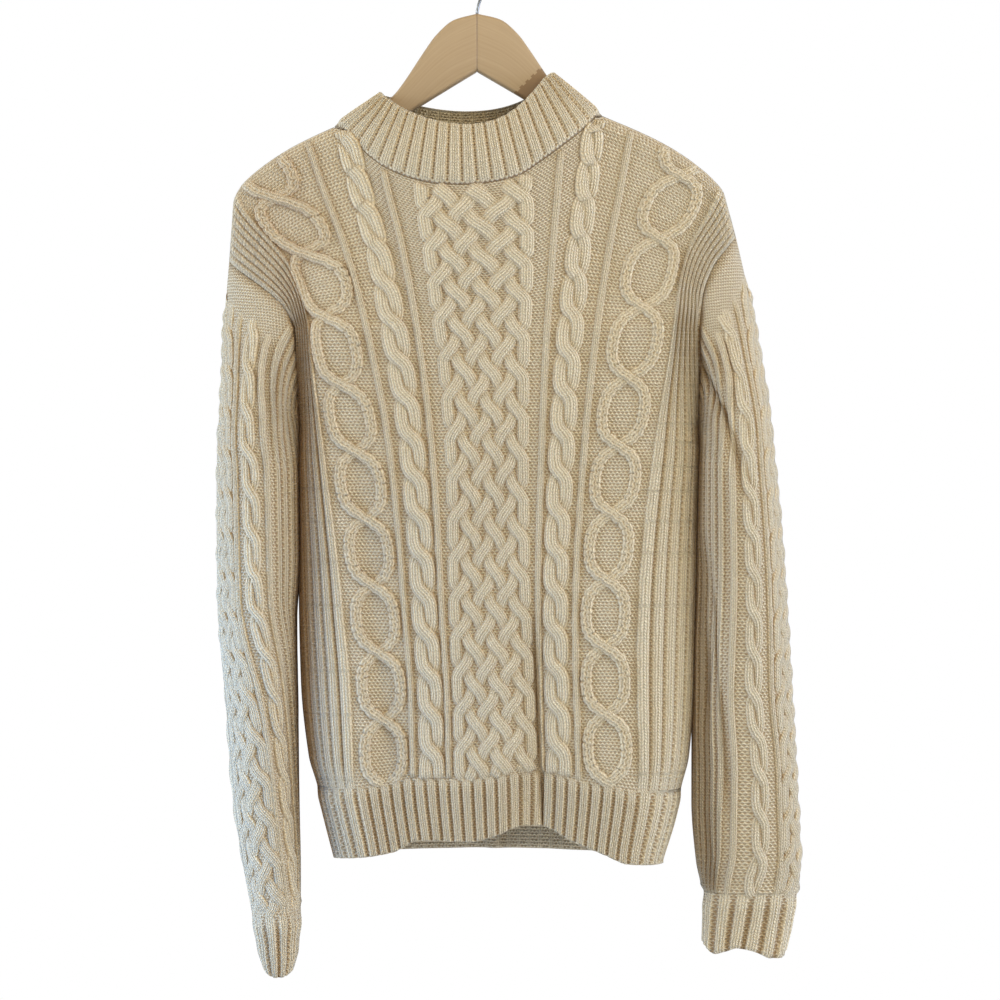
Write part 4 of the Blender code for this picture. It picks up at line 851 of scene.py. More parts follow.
for arm in ("right", "left"):
    print("girth of the", arm, "sleeve at the elbow:", round(float(sleeve_girth(600.0, arm))))

# %% [markdown]
# ## The ribbed chart
#
# Side panels, hem, cuffs and collar are ribbed: two wales of knit stitches stand proud, and the
# purl stitches between them sink back. The two wales part in a fine groove. Each helper returns the
# height of the ribs, and `knit`, which is 1 where the stitches are knit and 0 where they are purl.
# Below 0 it marks wool that lies deep, where the finish paints shade.

# %% Ribs
SIDE_RIDGES_AT = (135.2, 143.4, 151.6, 159.8, 168.0, 176.2)
RIDGE_HALF = 3.5           # half the width of a side ridge, which is two wales
HEM_PURL = 0.28            # share of a rib's width that is purl, in the hem
CUFF_PURL = 0.34
COLLAR_PURL = 0.22
BAND_CORDS = 7             # single ridges beside the armhole, where the side ribs draw together
SLEEVE_RIB = (SLEEVE_HALF - SLEEVE_RIBS_FROM) / 8
SLEEVE_RAISE = 3.0


def double_rib(turn, purl=0.38):
    """Height, from 0 to 1, and knit share of a two-wale rib; turn counts the ribs. The share is
    below zero in the groove, where the finish paints shade on the wool that lies deep."""
    part = np.asarray(turn, float) % 1.0
    away = 0.5 - np.abs(part - 0.5)
    ridge = ease(purl / 2 - 0.13, purl / 2 + 0.14, away)
    groove = 0.26 * np.exp(-((part - 0.5) / 0.06) ** 2)
    return ridge - groove, 1.6 * ease(purl / 2 - 0.05, purl / 2 + 0.05, away) - 0.6


def side_ridges(column):
    """Height and knit share of the ridges at both sides of a panel."""
    away = np.abs(column)
    height, knit = np.zeros(np.shape(away)), np.zeros(np.shape(away))
    for at in SIDE_RIDGES_AT:
        part = (away - at) / RIDGE_HALF
        slit = 0.3 * np.exp(-(part / 0.16) ** 2)
        height = np.maximum(height, bump(away - at, RIDGE_HALF) - slit)
        knit = np.maximum(knit, 1 - ease(0.8, 1.1, np.abs(part)))
    # Below zero between the ridges, where the finish paints shade.
    return height, knit - 0.5 * (1 - knit) * ease(131.0, 134.0, away)


def band_ridges(column):
    """Height and knit share of the fine ridges of the band beside the armhole."""
    turn = (np.abs(column) - SIDE_RIBS_FROM) / (PANEL_HALF - SIDE_RIBS_FROM) * BAND_CORDS
    ridge = np.abs(np.sin(math.pi * turn)) ** 0.8
    inside = turn > 0
    # The knit share falls below zero between the cords, where the finish paints shade.
    return np.where(inside, ridge, 0.0), np.where(inside, 1.5 * ease(0.25, 0.5, ridge) - 0.5, 0.0)


def under_ribs(column):
    """Ribs of a sleeve from its chart to the underarm."""
    away = np.abs(column)
    height, knit = double_rib((away - SLEEVE_RIBS_FROM) / SLEEVE_RIB)
    beside = away > SLEEVE_RIBS_FROM
    return np.where(beside, height, 0.0) * SLEEVE_RAISE, np.where(beside, knit, 0.0)


print("sleeve ribs every", SLEEVE_RIB, "mm")

# %% [markdown]
# ## Counting stitches
#
# The smallest detail, the stitch itself, is drawn by the material, so every corner of the mesh has
# to know which stitch it lies on. A UV map is made for this: U counts wales and V counts rows, so
# one unit is one stitch. A wale's edge lies on the middle of each double rib.

# %% Wales and rows
ROW = 2.75                 # height of one stitch
WALE = 3.62                # width of one stitch
CHART_WALES = 36           # from the middle of a panel to its side ridges
WALES = {"column": [0.0, 43.5, 77.0, 104.0, 130.0], "wale": [0.0, 12.0, 21.0, 29.0, 36.0]}
for at in SIDE_RIDGES_AT:
    between = at - RIDGE_HALF - WALES["column"][-1]
    before = round(WALES["wale"][-1] + max(0.6, between / 3.6))
    WALES["column"] += [at - RIDGE_HALF, at + RIDGE_HALF]
    WALES["wale"] += [before, before + 2]
BAND_WALES = {"column": (0.0, SIDE_RIBS_FROM, PANEL_HALF), "wale": (0.0, 36.0, 36.0 + BAND_CORDS)}
SLEEVE_WALES = {"column": (0.0, 26.0, 58.0, 66.0, 160.0), "wale": (0.0, 7.0, 16.0, 18.0, 42.0)}


def wales(column, table):
    """Count of wales from the middle to a column, negative on the wearer's right."""
    return np.sign(column) * np.interp(np.abs(column), table["column"], table["wale"])


print("wales across a panel:", 2 * WALES["wale"][-1])

# %% [markdown]
# ## Walls of cloth
#
# A garment scanned into a computer is often a single surface, but real cloth has two sides and an
# edge. Here every piece is a closed wall: rows of outer points, rows of inner points, and strips
# that join them. `Knitting` collects rows, remembers the stitch of each corner, and builds a mesh.

# %% Knitting
def show(name, mesh, finish):
    """Puts a mesh in the scene as an object with its finish."""
    mesh.materials.append(finish)
    piece = bpy.data.objects.new(name, mesh)
    scene.collection.objects.link(piece)
    return piece


def close_shape(name, shape, finish):
    """Turns a shape's faces outwards, and puts it in the scene."""
    bmesh.ops.recalc_face_normals(shape, faces=shape.faces)
    mesh = bpy.data.meshes.new(name)
    shape.to_mesh(mesh)
    shape.free()
    return show(name, mesh, finish)


class Knitting:
    """Rows of points that are joined into one mesh, with the stitch that each corner lies on."""

    def __init__(self):
        self.points, self.count = [], 0
        self.vertex, self.stitch, self.corners = [], [], 0
        self.quads, self.thirds = [], []

    def row(self, points, wale, line, knit, closed=False):
        """Adds a row. A closed row gives its first point twice, with two wale counts."""
        points = np.asarray(points, float)
        numbers = np.arange(self.count, self.count + len(points))
        self.points.append(points * MM)
        self.count += len(points)
        if closed:
            numbers = np.append(numbers, numbers[0])
        size = len(numbers)
        wale, line, knit = (np.broadcast_to(value, size) for value in (wale, line, knit))
        self.vertex.append(numbers)
        self.stitch.append(np.stack((wale, line, knit), axis=1))
        start = self.corners
        self.corners += size
        return np.arange(start, start + size)

    def join(self, one, two, one_at=None, two_at=None):
        """Fills the strip between two rows of corners, by their places along it."""
        if one_at is None:
            self.quads.append(np.stack((one[:-1], one[1:], two[1:], two[:-1]), axis=1))
            return
        i = j = 0
        while i < len(one) - 1 or j < len(two) - 1:
            take_one = j == len(two) - 1 or (i < len(one) - 1 and one_at[i + 1] <= two_at[j + 1])
            if take_one:
                self.thirds.append((one[i], one[i + 1], two[j]))
                i += 1
            else:
                self.thirds.append((one[i], two[j + 1], two[j]))
                j += 1

    def sheet(self, rows):
        """Fills between each row and the next, which all have as many points."""
        for one, two in zip(rows[:-1], rows[1:]):
            self.join(one, two)

    def build(self, name, finish):
        """Makes the object, with every face turned outwards and its stitches in the UV map."""
        vertex, stitch = np.concatenate(self.vertex), np.concatenate(self.stitch)
        quads, thirds = np.concatenate(self.quads), np.array(self.thirds, int).reshape(-1, 3)
        corners = np.concatenate((quads.ravel(), thirds.ravel()))
        starts = np.concatenate((4 * np.arange(len(quads)),
                                 quads.size + 3 * np.arange(len(thirds))))
        mesh = bpy.data.meshes.new(name)
        mesh.vertices.add(self.count)
        mesh.vertices.foreach_set("co", np.concatenate(self.points).ravel())
        mesh.loops.add(len(corners))
        mesh.loops.foreach_set("vertex_index", vertex[corners])
        mesh.polygons.add(len(starts))
        mesh.polygons.foreach_set("loop_start", starts)
        mesh.update(calc_edges=True)
        mesh.uv_layers.new(name="stitches").data.foreach_set("uv", stitch[corners, :2].ravel())
        mesh.attributes.new("knit", "FLOAT", "CORNER").data.foreach_set("value", stitch[corners, 2])
        mesh.polygons.foreach_set("use_smooth", np.ones(len(starts), bool))
        shape = bmesh.new()
        shape.from_mesh(mesh)
        bmesh.ops.recalc_face_normals(shape, faces=shape.faces)
        if shape.calc_volume(signed=True) < 0:
            bmesh.ops.reverse_faces(shape, faces=shape.faces)
        shape.to_mesh(mesh)
        shape.free()
        print(name, 2 * len(quads) + len(thirds), "triangles")
        return show(name, mesh, finish)


def shares(values):
    """Places of a row's points along it, from 0 to 1."""
    values = np.asarray(values, float)
    return (values - values[0]) / (values[-1] - values[0])


# %% [markdown]
# ## Wool
#
# The yarn is undyed cream wool with a soft, matt face. A knit stitch is a small V, and a column of
# them looks like a plait of fine lines. A purl stitch is a low wave that bridges two wales, with a
# dark hole under it. Both are drawn from the stitch counts: the V is a ridge that climbs towards
# the sides of its wale, and the wave is a ridge that swings up and down across it. Their height
# drives the bump and paints shade into the gaps, where light hardly reaches. Ambient occlusion
# paints more shade where cables, ribs and the other pieces hide the wool. Noise moves the stitches
# a little, as no hand knits them alike, and adds the loose fibres.

# %% Shader helper
class Finish:
    """A material that is being made, with short ways to add and wire its nodes."""

    def __init__(self, name):
        self.material = bpy.data.materials.new(name)
        self.material.use_nodes = True
        self.tree = self.material.node_tree
        self.shader = self.tree.nodes["Principled BSDF"]

    def node(self, kind, **inputs):
        """Adds a node and sets or wires its inputs, which are named with underscores for spaces."""
        made = self.tree.nodes.new("ShaderNode" + kind)
        for name, value in inputs.items():
            self.feed(made.inputs[name.replace("_", " ")], value)
        return made

    def feed(self, socket, value):
        """Wires another node's output to a socket, or sets the socket's own value."""
        if isinstance(value, bpy.types.NodeSocket):
            self.tree.links.new(value, socket)
        else:
            socket.default_value = value

    def math(self, operation, *values):
        """Result of a sum on one, two or three numbers or outputs."""
        made = self.tree.nodes.new("ShaderNodeMath")
        made.operation = operation
        for socket, value in zip(made.inputs, values):
            self.feed(socket, value)
        return made.outputs[0]

    def blend(self, share, low, high):
        """Colour between two colours or outputs."""
        made = self.tree.nodes.new("ShaderNodeMix")
        made.data_type = "RGBA"
        for number, value in zip((0, 6, 7), (share, low, high)):
            self.feed(made.inputs[number], value)
        return made.outputs[2]

    def noise(self, scale, detail=2.0, vector=None):
        """Noise over the object's own space, or over another vector."""
        if vector is None:
            vector = self.node("TexCoord").outputs["Object"]
        return self.node("TexNoise", Vector=vector, Scale=scale, Detail=detail).outputs["Fac"]


# %% Wool finish
YARN = (0.91, 0.835, 0.650, 1)            # the lit face of the yarn
YARN_WARM = (0.87, 0.770, 0.550, 1)       # warmer patches
YARN_GAP_SHADE = (0.36, 0.245, 0.130, 1)        # painted shade between the stitches
YARN_SHADE = (0.50, 0.360, 0.185, 1)      # where a cable or a rib hides the wool from the light
YARN_RECESS_SHADE = (0.37, 0.175, 0.050, 1)     # painted shade deep between the sleeves and the body
YARN_INSIDE_BOUNCE = (1.00, 0.830, 0.560, 1)     # painted warm bounce light inside the collar
YARN_RIBS_SHADE = (0.68, 0.520, 0.310, 1)       # painted shade between the ribs of the collar
TURN = 2 * math.pi
PAINTED_LIT_FROM = (0.02, 0.15)       # x over which the wearer's left is painted lighter, in metres
PAINTED_SHADE_FROM = (-0.125, -0.155)     # x over which the other side is painted darker, as shade
AO_SAMPLES = 3


def knit_height(make, wale, row):
    """V stitches: two slanting legs in each wale."""
    part = make.math("FRACT", wale)
    out = make.math("ABSOLUTE", make.math("MULTIPLY_ADD", part, 2.0, -1.0))
    leg = make.math("SINE", make.math("MULTIPLY", out, math.pi))
    climb = make.math("MULTIPLY_ADD", out, 0.7, row)
    rung = make.math("COSINE", make.math("MULTIPLY", climb, TURN))
    rung = make.math("MULTIPLY_ADD", rung, 0.5, 0.5)
    return make.math("MULTIPLY", make.math("POWER", leg, 0.75),
                     make.math("MULTIPLY_ADD", rung, 0.56, 0.44))


def purl_height(make, wale, row):
    """Purl stitches: short waves, turned about in every other row, with holes between them."""
    number = make.math("FLOOR", make.math("ADD", row, 0.5))
    turned = make.math("PINGPONG", number, 1.0)
    swing = make.math("MULTIPLY", make.math("MULTIPLY_ADD", turned, 0.5, wale), TURN)
    swing = make.math("COSINE", swing)
    ridge = make.math("MULTIPLY", make.math("MULTIPLY_ADD", swing, 0.17, row), TURN)
    ridge = make.math("COSINE", ridge)
    ridge = make.math("MULTIPLY_ADD", ridge, 0.5, 0.5)
    bridge = make.math("MULTIPLY_ADD", swing, 0.3, 0.7)
    return make.math("MULTIPLY", make.math("POWER", ridge, 0.8), bridge)


def make_wool(name, painted_recess, shade, painted_side_light=0.0):
    """Cream wool, with the stitches of its chart and painted shade in its hollows and recesses. Its
    last argument paints the wearer's left lighter and deepens the painted shade beside the other
    sleeve."""
    make = Finish(name)
    place = make.node("SeparateXYZ", Vector=make.node("TexCoord").outputs["Object"])
    across, painted_shade_side = (make.node("MapRange", Value=place.outputs["X"], From_Min=low, From_Max=high)
                      for low, high in (PAINTED_LIT_FROM, PAINTED_SHADE_FROM))
    counts = make.node("UVMap")
    counts.uv_map = "stitches"
    split = make.node("SeparateXYZ", Vector=counts.outputs[0])
    stray = make.noise(160.0)
    stray_two = make.noise(210.0)
    wale = make.math("ADD", split.outputs["X"], make.math("MULTIPLY_ADD", stray, 0.40, -0.20))
    row = make.math("ADD", split.outputs["Y"], make.math("MULTIPLY_ADD", stray_two, 0.60, -0.30))
    kind = make.node("Attribute")
    kind.attribute_name = "knit"
    knitted = make.math("MAXIMUM", kind.outputs["Fac"], 0.0)
    deep = make.math("MINIMUM", kind.outputs["Fac"], 0.0)
    knit = knit_height(make, wale, row)
    purl = purl_height(make, wale, row)
    height = make.math("MULTIPLY_ADD", knitted, make.math("SUBTRACT", knit, purl), purl)
    each = make.noise(1.1, 1.0, counts.outputs[0])
    height = make.math("MULTIPLY", height, make.math("MULTIPLY_ADD", each, 0.9, 0.55))
    fibres = make.noise(2600.0, 3.0)
    face = make.blend(make.noise(7.0), YARN, YARN_WARM)
    # Ambient occlusion paints shade into the colour: close by into the hollows beside cables and
    # ribs, and far out into the recesses between the sleeves and the body.
    near = make.node("AmbientOcclusion", Distance=0.007)
    wide = make.node("AmbientOcclusion", Distance=0.09)
    near.samples = wide.samples = AO_SAMPLES
    painted_hollow_shade = make.math("POWER", near.outputs["AO"], 1.2)
    face = make.blend(painted_hollow_shade, shade, face)
    # Painted recess shade, lightened on the wearer's left and deepened on the other side as much as
    # the last argument asks.
    clear = make.math("MULTIPLY_ADD", wide.outputs["AO"], 1.35,
                      make.math("MULTIPLY", across.outputs["Result"], painted_side_light * 1.6))
    clear = make.math("SUBTRACT", clear,
                      make.math("MULTIPLY", painted_shade_side.outputs["Result"], painted_side_light))
    face = make.blend(make.math("SMOOTH_MIN", clear, 1.0, 0.05), painted_recess, face)
    # Painted shade between the stitches: the lower the stitch, the more its colour turns to the gap
    # shade, and wool that lies deep between ribs turns darker still.
    lit = make.math("POWER", make.math("MAXIMUM", height, 0.0), 0.6)
    lit = make.math("MULTIPLY_ADD", make.math("SUBTRACT", fibres, 0.5), 0.3, lit)
    lit = make.math("MAXIMUM", lit, make.math("MULTIPLY", knitted, 0.4))
    lit = make.math("MAXIMUM", make.math("MULTIPLY_ADD", deep, 0.6, lit), 0.0)
    lit = make.math("MINIMUM", lit, 1.0)
    make.feed(make.shader.inputs["Base Color"], make.blend(lit, YARN_GAP_SHADE, face))
    top = make.math("MULTIPLY_ADD", fibres, 0.22, height)
    raised = make.node("Bump", Height=top, Distance=0.0015, Strength=1.0)
    make.feed(make.shader.inputs["Normal"], raised.outputs[0])
    make.shader.inputs["Roughness"].default_value = 0.92
    make.shader.inputs["Specular IOR Level"].default_value = 0.25
    make.shader.inputs["Sheen Weight"].default_value = 0.25
    make.shader.inputs["Sheen Roughness"].default_value = 0.5
    return make.material


# The three wools differ only in their painted shade: the body's also paints its left side lighter
# and the side by the other sleeve darker, and the collar's paints warm bounce light inside it.
wool_body = make_wool("cream_wool", YARN_RECESS_SHADE, YARN_SHADE, 0.4)
wool_sleeves = make_wool("cream_wool_sleeves", YARN_RECESS_SHADE, YARN_SHADE)
wool_ribs = make_wool("cream_wool_ribs", YARN_INSIDE_BOUNCE, YARN_RIBS_SHADE)

# %% [markdown]
# ## Panel walls
#
# The wall of a panel is a grid of rows. Its plain middle is coarse, because the cables lie on it as
# pieces of their own, and its sides are fine, for their ribs. The hem has its own finer columns.
# A strip of narrow triangles joins the two sets of columns.

# %% Points of a panel
HEM_POINTS = 8             # points across one rib of the hem
SIDE_STEP = 0.82           # between points on the side ribs
ROW_STEP = 2.4
LINING_STEP = 9.0
SIDE_RAISE = 3.4
BAND_RAISE = 2.0
HEM_RAISE = 3.5


def panel_columns():
    """Columns of points across a panel: coarse under the cables, fine on the side ribs."""
    half = np.concatenate((np.arange(2.6, SIDE_RIBS_FROM - 3, 5.2),
                           np.arange(SIDE_RIBS_FROM, PANEL_HALF - 0.5, SIDE_STEP), [PANEL_HALF]))
    return np.concatenate((-half[::-1], half))


def hem_columns():
    """Columns of points across the hem."""
    count = int(PANEL_HALF / HEM_RIB * HEM_POINTS)
    inner = HEM_RIB / HEM_POINTS * np.arange(-count, count + 1)
    return np.concatenate(([-PANEL_HALF], inner[1:-1], [PANEL_HALF]))


def panel_levels():
    """Levels of the rows above the hem, closer together on the shoulder's roll."""
    straight = np.arange(HEM_TOP, TOP_LEVEL + 24, -ROW_STEP)
    return np.concatenate((straight, np.linspace(straight[-1] - 1.8, TOP_LEVEL, 15)))


def beside_arm(level):
    """How far the side ribs have drawn together into the armhole's band."""
    return 1 - ease(290, 350, level)


def panel_relief(column, level, in_hem):
    """Height and knit share of a panel's own ribs."""
    if in_hem:
        ridge, knit = double_rib(column / HEM_RIB, HEM_PURL)
        return (ridge - 0.2) * HEM_RAISE * ease(-5.0, 12.0, level - HEM_TOP), knit
    (side, side_knit), (band, band_knit) = side_ridges(column), band_ridges(column)
    share = beside_arm(level)
    touching = ease(160, 184, np.abs(column)) * ease(370, 410, level) * (1 - ease(600, 690, level))
    raised = side * SIDE_RAISE * (1 - 0.4 * touching) * (1 - share) + band * BAND_RAISE * share
    raised = raised * (1 - 0.7 * ease(HEM_TOP - 26, HEM_TOP, level))
    return raised, side_knit * (1 - share) + band_knit * share


def own_side(place, panel):
    """Keeps points of a panel on its own side of the side seam's gap."""
    way = outwards_of(panel)
    place[:, 1] = way * np.maximum(way * place[:, 1], SEAM_GAP / 2)
    return place


def panel_outer(column, level, panel, in_hem):
    """Outer points of a panel or of its hem, with the share of knit stitches."""
    column, level = both(column, level)
    ground = panel_ground(column, level, panel)
    out = panel_normal(column, level, panel)
    raised, knit = panel_relief(column, level, in_hem)
    inside = np.minimum((PANEL_HALF - np.abs(column)) * 1.6, (level - TOP_LEVEL) * 0.9)
    fade = ease(0.0, SEAM_FADE, inside)
    return own_side(ground + out * (raised * fade)[:, None], panel), knit


def panel_count(column, level, points):
    """Wales of a panel's points: even over the chart, then in step with the side ridges."""
    share = beside_arm(level)
    count = wales(column, WALES) * (1 - share) + wales(column, BAND_WALES) * share
    way = lengths(points)
    way = way - np.interp(0.0, column, way)
    for side in (-1.0, 1.0):
        edge, table = (abs(np.interp(side * SIDE_RIBS_FROM, column, value))
                       for value in (way, count))
        more = round(edge / WALE) - CHART_WALES
        inside = (column * side > 0) & (np.abs(column) <= SIDE_RIBS_FROM)
        count = np.where(inside, way / edge * (table + more), count)
        count = np.where(column * side > SIDE_RIBS_FROM, count + side * more, count)
    return count


def panel_inner(column, level, panel):
    """Inner points of a panel's wall."""
    column, level = both(column, level)
    out = panel_normal(column, level, panel)
    place = panel_ground(column, level, panel) - out * seam_wall(column, level)[:, None]
    return own_side(place, panel)


# %% Front and back walls
def make_panel(panel, finish):
    """Front or back with its hem, as one closed wall."""
    cloth = Knitting()
    columns, ribs, levels = panel_columns(), hem_columns(), panel_levels()
    plain = np.linspace(-PANEL_HALF, PANEL_HALF, 45)
    hem_rows = np.concatenate(([HEM_EDGE, HEM_EDGE - 0.8],
                               np.arange(HEM_EDGE - 3, HEM_TOP + 0.5, -2.6)))
    outer, hem = [], []
    for k, level in enumerate(hem_rows):
        points, knit = panel_outer(ribs, level, panel, True)
        if k == 0:
            points = (points + panel_inner(ribs, level, panel)) / 2
        hem.append(cloth.row(points, 3 * ribs / HEM_RIB + 0.5, level / ROW, knit))
    for level in levels:
        points, knit = panel_outer(columns, level, panel, False)
        outer.append(cloth.row(points, panel_count(columns, level, points), level / ROW, knit))
    cloth.sheet(hem)
    cloth.join(hem[-1], outer[0], shares(ribs), shares(columns))
    cloth.sheet(outer)

    below = np.arange(HEM_TOP, UNDERARM, -LINING_STEP)
    above = levels[levels < UNDERARM + 0.1][::3]
    above = above if above[-1] < TOP_LEVEL + 0.01 else np.append(above, TOP_LEVEL)
    under, inner = [], []
    coarse = ribs[::2] if len(ribs) % 2 else np.append(ribs[:-1:2], ribs[-1])
    ridge, knit = double_rib(coarse / HEM_RIB)
    lining_hem = np.linspace(HEM_EDGE, HEM_TOP + 4, 13)
    for level in lining_hem:
        out = panel_normal(coarse, np.full(len(coarse), level), panel)
        edge = ease(0.0, SEAM_FADE, PANEL_HALF - np.abs(coarse)) * ease(-2.0, 4.0, HEM_EDGE - level)
        points = panel_inner(coarse, level, panel) + out * ((ridge - 0.6) * 1.3 * edge)[:, None]
        under.append(cloth.row(points, 3 * coarse / HEM_RIB + 0.5, level / ROW,
                               np.clip(1 - knit, 0, 1)))
    for level in np.concatenate((below, above)):
        points = panel_inner(plain, level, panel)
        if level <= UNDERARM:
            for arm, end in (("right", 0), ("left", -1)):
                edge, inward, _ = armhole_edge(np.array([UNDERARM, level, TOP_LEVEL]), arm, panel)
                points[end] = edge[1] + inward[1] * SEAM_WALL
        inner.append(cloth.row(points, wales(plain, WALES), level / ROW, 1.0))
    cloth.sheet(under)
    cloth.join(under[-1], inner[0], shares(coarse), shares(plain))
    cloth.sheet(inner)
    cloth.join(hem[0], under[0], shares(ribs), shares(coarse))
    cloth.join(outer[-1], inner[-1], shares(columns), shares(plain))
    inner_levels = np.concatenate((lining_hem, below, above))
    inner = under + inner
    all_rows = hem + outer
    down = shares(-np.concatenate((hem_rows, levels)))
    for end in (0, -1):
        cloth.join(np.array([r[end] for r in all_rows]), np.array([r[end] for r in inner]),
                   down, shares(-inner_levels))
    return cloth.build(panel + "_knit", finish)


panels = {panel: make_panel(panel, wool_body) for panel in ("front", "back")}

# %% [markdown]
# ## Strands
#
# A cable is made by letting groups of wales change places. Each group is a strand that really
# passes over or under its neighbour, so it is swept along its own path: a domed band with one low
# ridge for each of its wales. Its ends sink into the ground at the seams. The strand follows the
# surface under it, whichever that is, through a small function that gives a point, the way out and
# how far the columns are spread there.

# %% Surfaces that strands lie on
def panel_level(column, drop, panel):
    """Level of the point of a column that hangs at this drop."""
    top = top_edge(column, panel)[1]
    share = (SHOULDER_ZONE - drop) / (SHOULDER_ZONE - top)
    raised = SHOULDER_ZONE - share * (SHOULDER_ZONE - TOP_LEVEL)
    hem = hem_hang(column, panel)
    low = np.array(drop, float)
    for _ in range(4):
        low = drop - hem * ease(HEM_TOP - 60, HEM_EDGE, low)
    return np.where(drop < SHOULDER_ZONE, raised, low)


def on_panel(panel):
    """Function that places a strand on a panel."""
    def place(column, drop):
        level = panel_level(column, drop, panel)
        keep = (level > TOP_LEVEL + 1) & (level < HEM_TOP + 3)
        level = np.clip(level, TOP_LEVEL + 1, HEM_TOP + 3)
        ground = panel_ground(column, level, panel)
        wider = panel_ground(column + 1, level, panel)
        spread = np.linalg.norm(wider - ground, axis=-1)
        fade = (ease(TOP_LEVEL + 1, TOP_LEVEL + 8, level)
                * (1 - ease(HEM_TOP - 5, HEM_TOP + 3, level)))
        return ground, panel_normal(column, level, panel), spread, fade, keep
    return place


def sleeve_run(column, drop, arm):
    """Run of the point of a sleeve's column that hangs at this drop."""
    cap = cap_share(arm)
    low = cap + (1 - cap) * (drop - SLEEVE_CAP) / (sleeve_end(arm) - SLEEVE_CAP)
    run = np.clip(low, 0.02, 1.0)
    for _ in range(5):
        seam = -armhole(sleeve_angle(column, run, arm), arm)[..., 2]
        in_cap = cap * (drop - seam) / (SLEEVE_CAP - seam)
        run = np.where(drop < SLEEVE_CAP, np.clip(in_cap, 0.0, cap), low)
    return run


def on_sleeve(arm):
    """Function that places a strand on a sleeve."""
    def place(column, drop):
        run = sleeve_run(column, drop, arm)
        keep = (run > 0.026) & (run < cuff_share(arm) + 0.012)
        run = np.clip(run, 0.026, cuff_share(arm) + 0.012)
        angle = sleeve_angle(column, run, arm)
        ground = sleeve_ground(angle, run, arm)
        wider = sleeve_ground(sleeve_angle(column + 1, run, arm), run, arm)
        spread = np.linalg.norm(wider - ground, axis=-1)
        end = cuff_share(arm)
        fade = ease(0.026, 0.05, run) * (1 - ease(end - 0.006, end + 0.012, run))
        fade = fade * (1 - 0.8 * faces_body(angle, drop))
        return ground, sleeve_frame(angle, run, arm)[1], spread, fade, keep
    return place


# %% Sweeping a strand
STRAND_FOOT = -0.9         # height of a strand's edges, sunk into the ground
BACK_POINTS = 3


def lay_strand(cloth, surface, column, drop, top, half, wale_count, points, groove=0.9):
    """Sweeps one strand. top is its height over the ground and half is half its width."""
    ground, out, _, fade, keep = surface(column, drop)
    if keep.sum() < 4:
        return
    ground, out, fade = ground[keep], out[keep], fade[keep]
    top, half = np.broadcast_to(top, keep.shape)[keep], np.broadcast_to(half, keep.shape)[keep]
    along = unit(np.gradient(ground, axis=0))
    side = unit(np.cross(along, out))
    length = lengths(ground) / ROW
    top = top * fade - 0.7 * (1 - fade)
    across = np.sin(np.linspace(-math.pi / 2, math.pi / 2, points))
    dome = np.clip(1 - np.abs(across) ** 2.6, 0, 1) ** 0.6
    between = 0.5 + 0.5 * np.cos(math.pi * (across + 1) * wale_count)
    cut = groove * between * dome
    knit = np.append(1 - 0.4 * groove * between ** 3 * (dome > 0.1), np.ones(BACK_POINTS + 1))
    back = np.linspace(0.8, -0.8, BACK_POINTS)
    offset = np.concatenate((across, back))
    wale = np.concatenate(((across + 1) / 2 * wale_count, np.linspace(wale_count, 0, BACK_POINTS)))
    wale = np.append(wale, 0.0)
    rings = []
    for k in range(len(ground)):
        lift = STRAND_FOOT + (top[k] - STRAND_FOOT) * dome - cut * fade[k]
        lift = np.append(lift, np.full(BACK_POINTS, STRAND_FOOT - 0.4))
        ring = ground[k] + side[k] * (offset * half[k])[:, None] + out[k] * lift[:, None]
        rings.append(cloth.row(ring, wale, length[k], knit, closed=True))
    cloth.sheet(rings)
    for ring in (rings[0], rings[-1]):
        cloth.thirds += [(ring[0], ring[k], ring[k + 1]) for k in range(1, len(ring) - 2)]


# %% [markdown]
# ## Where the cables cross
#
# A knitter crosses the cables every few rows, and the eye goes straight to these crossings. The
# tables give the drop of some numbered crossings of each cable, and the rest lie on a curve through
# them.

# %% Crossings
PLAIT_ROWS = {"number": (-2, 0, 3, 6, 10, 15, 18),
              "drop": (172.0, 226.9, 316.3, 419.8, 562.7, 731.2, 832.0)}
ROPE_ROWS = {"number": (-2, 0, 4, 8, 15, 18),
             "right": (148.0, 207.0, 341.0, 478.0, 722.0, 826.0),
             "left": (139.0, 197.7, 333.7, 475.5, 717.0, 821.0)}
DIAMOND_ROWS = {"number": (-2, 0, 1, 3, 8, 10),
                "right": (140.0, 229.6, 279.3, 397.3, 693.7, 812.0),
                "left": (100.0, 209.0, 266.1, 391.0, 688.5, 808.0)}


def crossing_drop(table, number, side="drop"):
    """Drop of a numbered crossing, or of a place between two."""
    return through(table["number"], table[side], number)


print("the sixth rope crossing hangs at", crossing_drop(ROPE_ROWS, 6, "left"))

# %% [markdown]
# ## Plait, ropes, diamonds and fine ribs
#
# The plait down the middle has seven strands in seven places. In each row neighbours change places
# in pairs: in one row the strand that moves to the right passes over, in the next the strand that
# moves to the left. A rope has two strands that always cross the same way. A diamond has two narrow
# lines that cross and part again. A fine rib is one straight line of two wales.

# %% Plait
PLAIT_TOP = 2.9            # height of a strand where nothing crosses it
PLAIT_RISE = 1.35          # how much higher or lower it lies at a crossing
PLAIT_WIDTH = {"drop": (240.0, 316.0, 384.0, 493.0, 731.0),
               "spacing": (16.0, 13.6, 11.6, 10.4, 10.6)}


